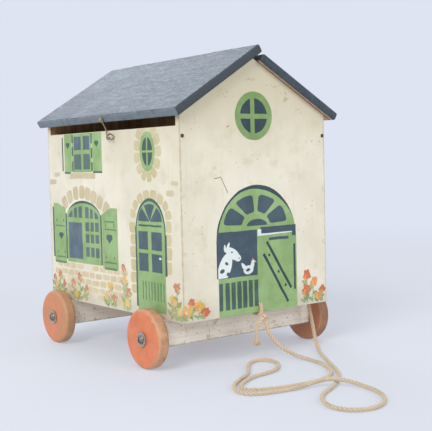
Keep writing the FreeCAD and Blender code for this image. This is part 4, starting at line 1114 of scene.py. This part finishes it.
# flowers along the foot of the long wall: y, height, lean, bloom, size
wallFlowers = {"seed": 33, "leftLeaves": 5, "rightLeaves": 5, "greens": ("olive", "olive", "moss"), "rows": (
    (-131, 34, 1, "rust", 6), (-127, 18, 1, "amber", 5.4), (-134, 9, -1, "straw", 5),
    (-36, 20, -1, "rust", 6), (-31, 33, 1, "amber", 6), (-27, 46, -1, "rust", 5.4),
    (-33, 7, -2, "straw", 6), (-6, 11, -2, "rust", 5.2),
    (-1, 24, 2, "straw", 6), (8, 10, 2, "amber", 5.2), (58, 16, -2, "rust", 5.4), (70, 28, 1, "rust", 5.6),
    (78, 7, 1, "straw", 6), (86, 21, 2, "rust", 5.4), (112, 17, -2, "rust", 5.4), (119, 27, 1, "rust", 5.8),
    (127, 14, 2, "amber", 5), (133, 23, 1, "rust", 5), (-119, 22, -1, "straw", 4))}
makeFlowers("wall_flower_paint", leftBoard @ Matrix.Translation((0, 0, film["under"])), 11, wallFlowers)
print("walls painted")


# studio: pale floor that runs into the backdrop, soft light all round; lamps: place, power, tint
studio = {
    "inputs": {"Base Color": "#E2E5EE", "Roughness": 0.9, "Specular IOR Level": 0.1}, "backdrop": "#DEE4F2",
    "ambient": (0.43, 0.43, 0.43, 1), "glow": (0.75, 2.2, 0.40, 1), "half": 20, "cells": 8,
    "aim": (0, 0, 0.15), "lampSize": 1.8,
    "lamps": (
        ((-2.6, -1.3, 2.0), 69, (1, 1, 1)), ((0.6, -2.7, 1.2), 23, (1, 1, 1)),
        ((0.7, 2.4, 2.1), 19, (0.86, 0.93, 1)), ((2.7, 0.5, 1.5), 9, (1, 1, 1)),
        ((-1.5, 2.6, 0.9), 11, (1, 1, 1)))}


def makeFloor(part):
    grid = bmesh.new()
    bmesh.ops.create_grid(grid, x_segments=part["cells"], y_segments=part["cells"], size=part["half"])
    floorMesh = bpy.data.meshes.new("studio_floor")
    grid.to_mesh(floorMesh)
    grid.free()
    floor = addObject("studio_floor", floorMesh)
    floorMesh.materials.append(startFinish("studio_paper", part))
    distance = addNode("VectorMath", {0: objectPlace()}, operation="LENGTH").outputs["Value"]
    glow = addNode("Emission", {"Color": part["backdrop"], "Strength": 1.0}).outputs["Emission"]
    feeds = {0: fade(distance, *part["glow"]), 1: bench["shader"].outputs["BSDF"], 2: glow}
    mixed = addNode("MixShader", feeds).outputs["Shader"]
    feedInput(bench["tree"].nodes["Material Output"], "Surface", mixed)


def makeWorld(part):
    world = bpy.data.worlds.new("studio")
    world.use_nodes = True
    scene.world = world
    bench["tree"] = world.node_tree
    rays = addNode("LightPath", {}).outputs
    feeds = {0: plus(rays["Is Camera Ray"], rays["Is Glossy Ray"]), 1: rays["Is Transmission Ray"]}
    shown = addNode("Math", feeds, operation="ADD", use_clamp=True).outputs["Value"]
    soft = world.node_tree.nodes["Background"]
    feedInput(soft, "Color", part["ambient"])
    pale = addNode("Background", {"Color": part["backdrop"]})
    joined = addNode("MixShader", {0: shown, 1: soft.outputs[0], 2: pale.outputs[0]})
    feedInput(world.node_tree.nodes["World Output"], "Surface", joined.outputs[0])


def makeLamps(part):
    for k, (place, power, tint) in enumerate(part["lamps"]):
        light = bpy.data.lights.new("softbox" + str(k), "AREA")
        light.shape = "DISK"
        light.size = part["lampSize"]
        light.energy = power
        light.color = tint
        lamp = addObject("softbox" + str(k), light)
        aim = (Vector(part["aim"]) - Vector(place)).to_track_quat("-Z", "Y")
        lamp.matrix_world = Matrix.Translation(place) @ aim.to_matrix().to_4x4()


makeFloor(studio)
makeWorld(studio)
makeLamps(studio)
print("studio lit")
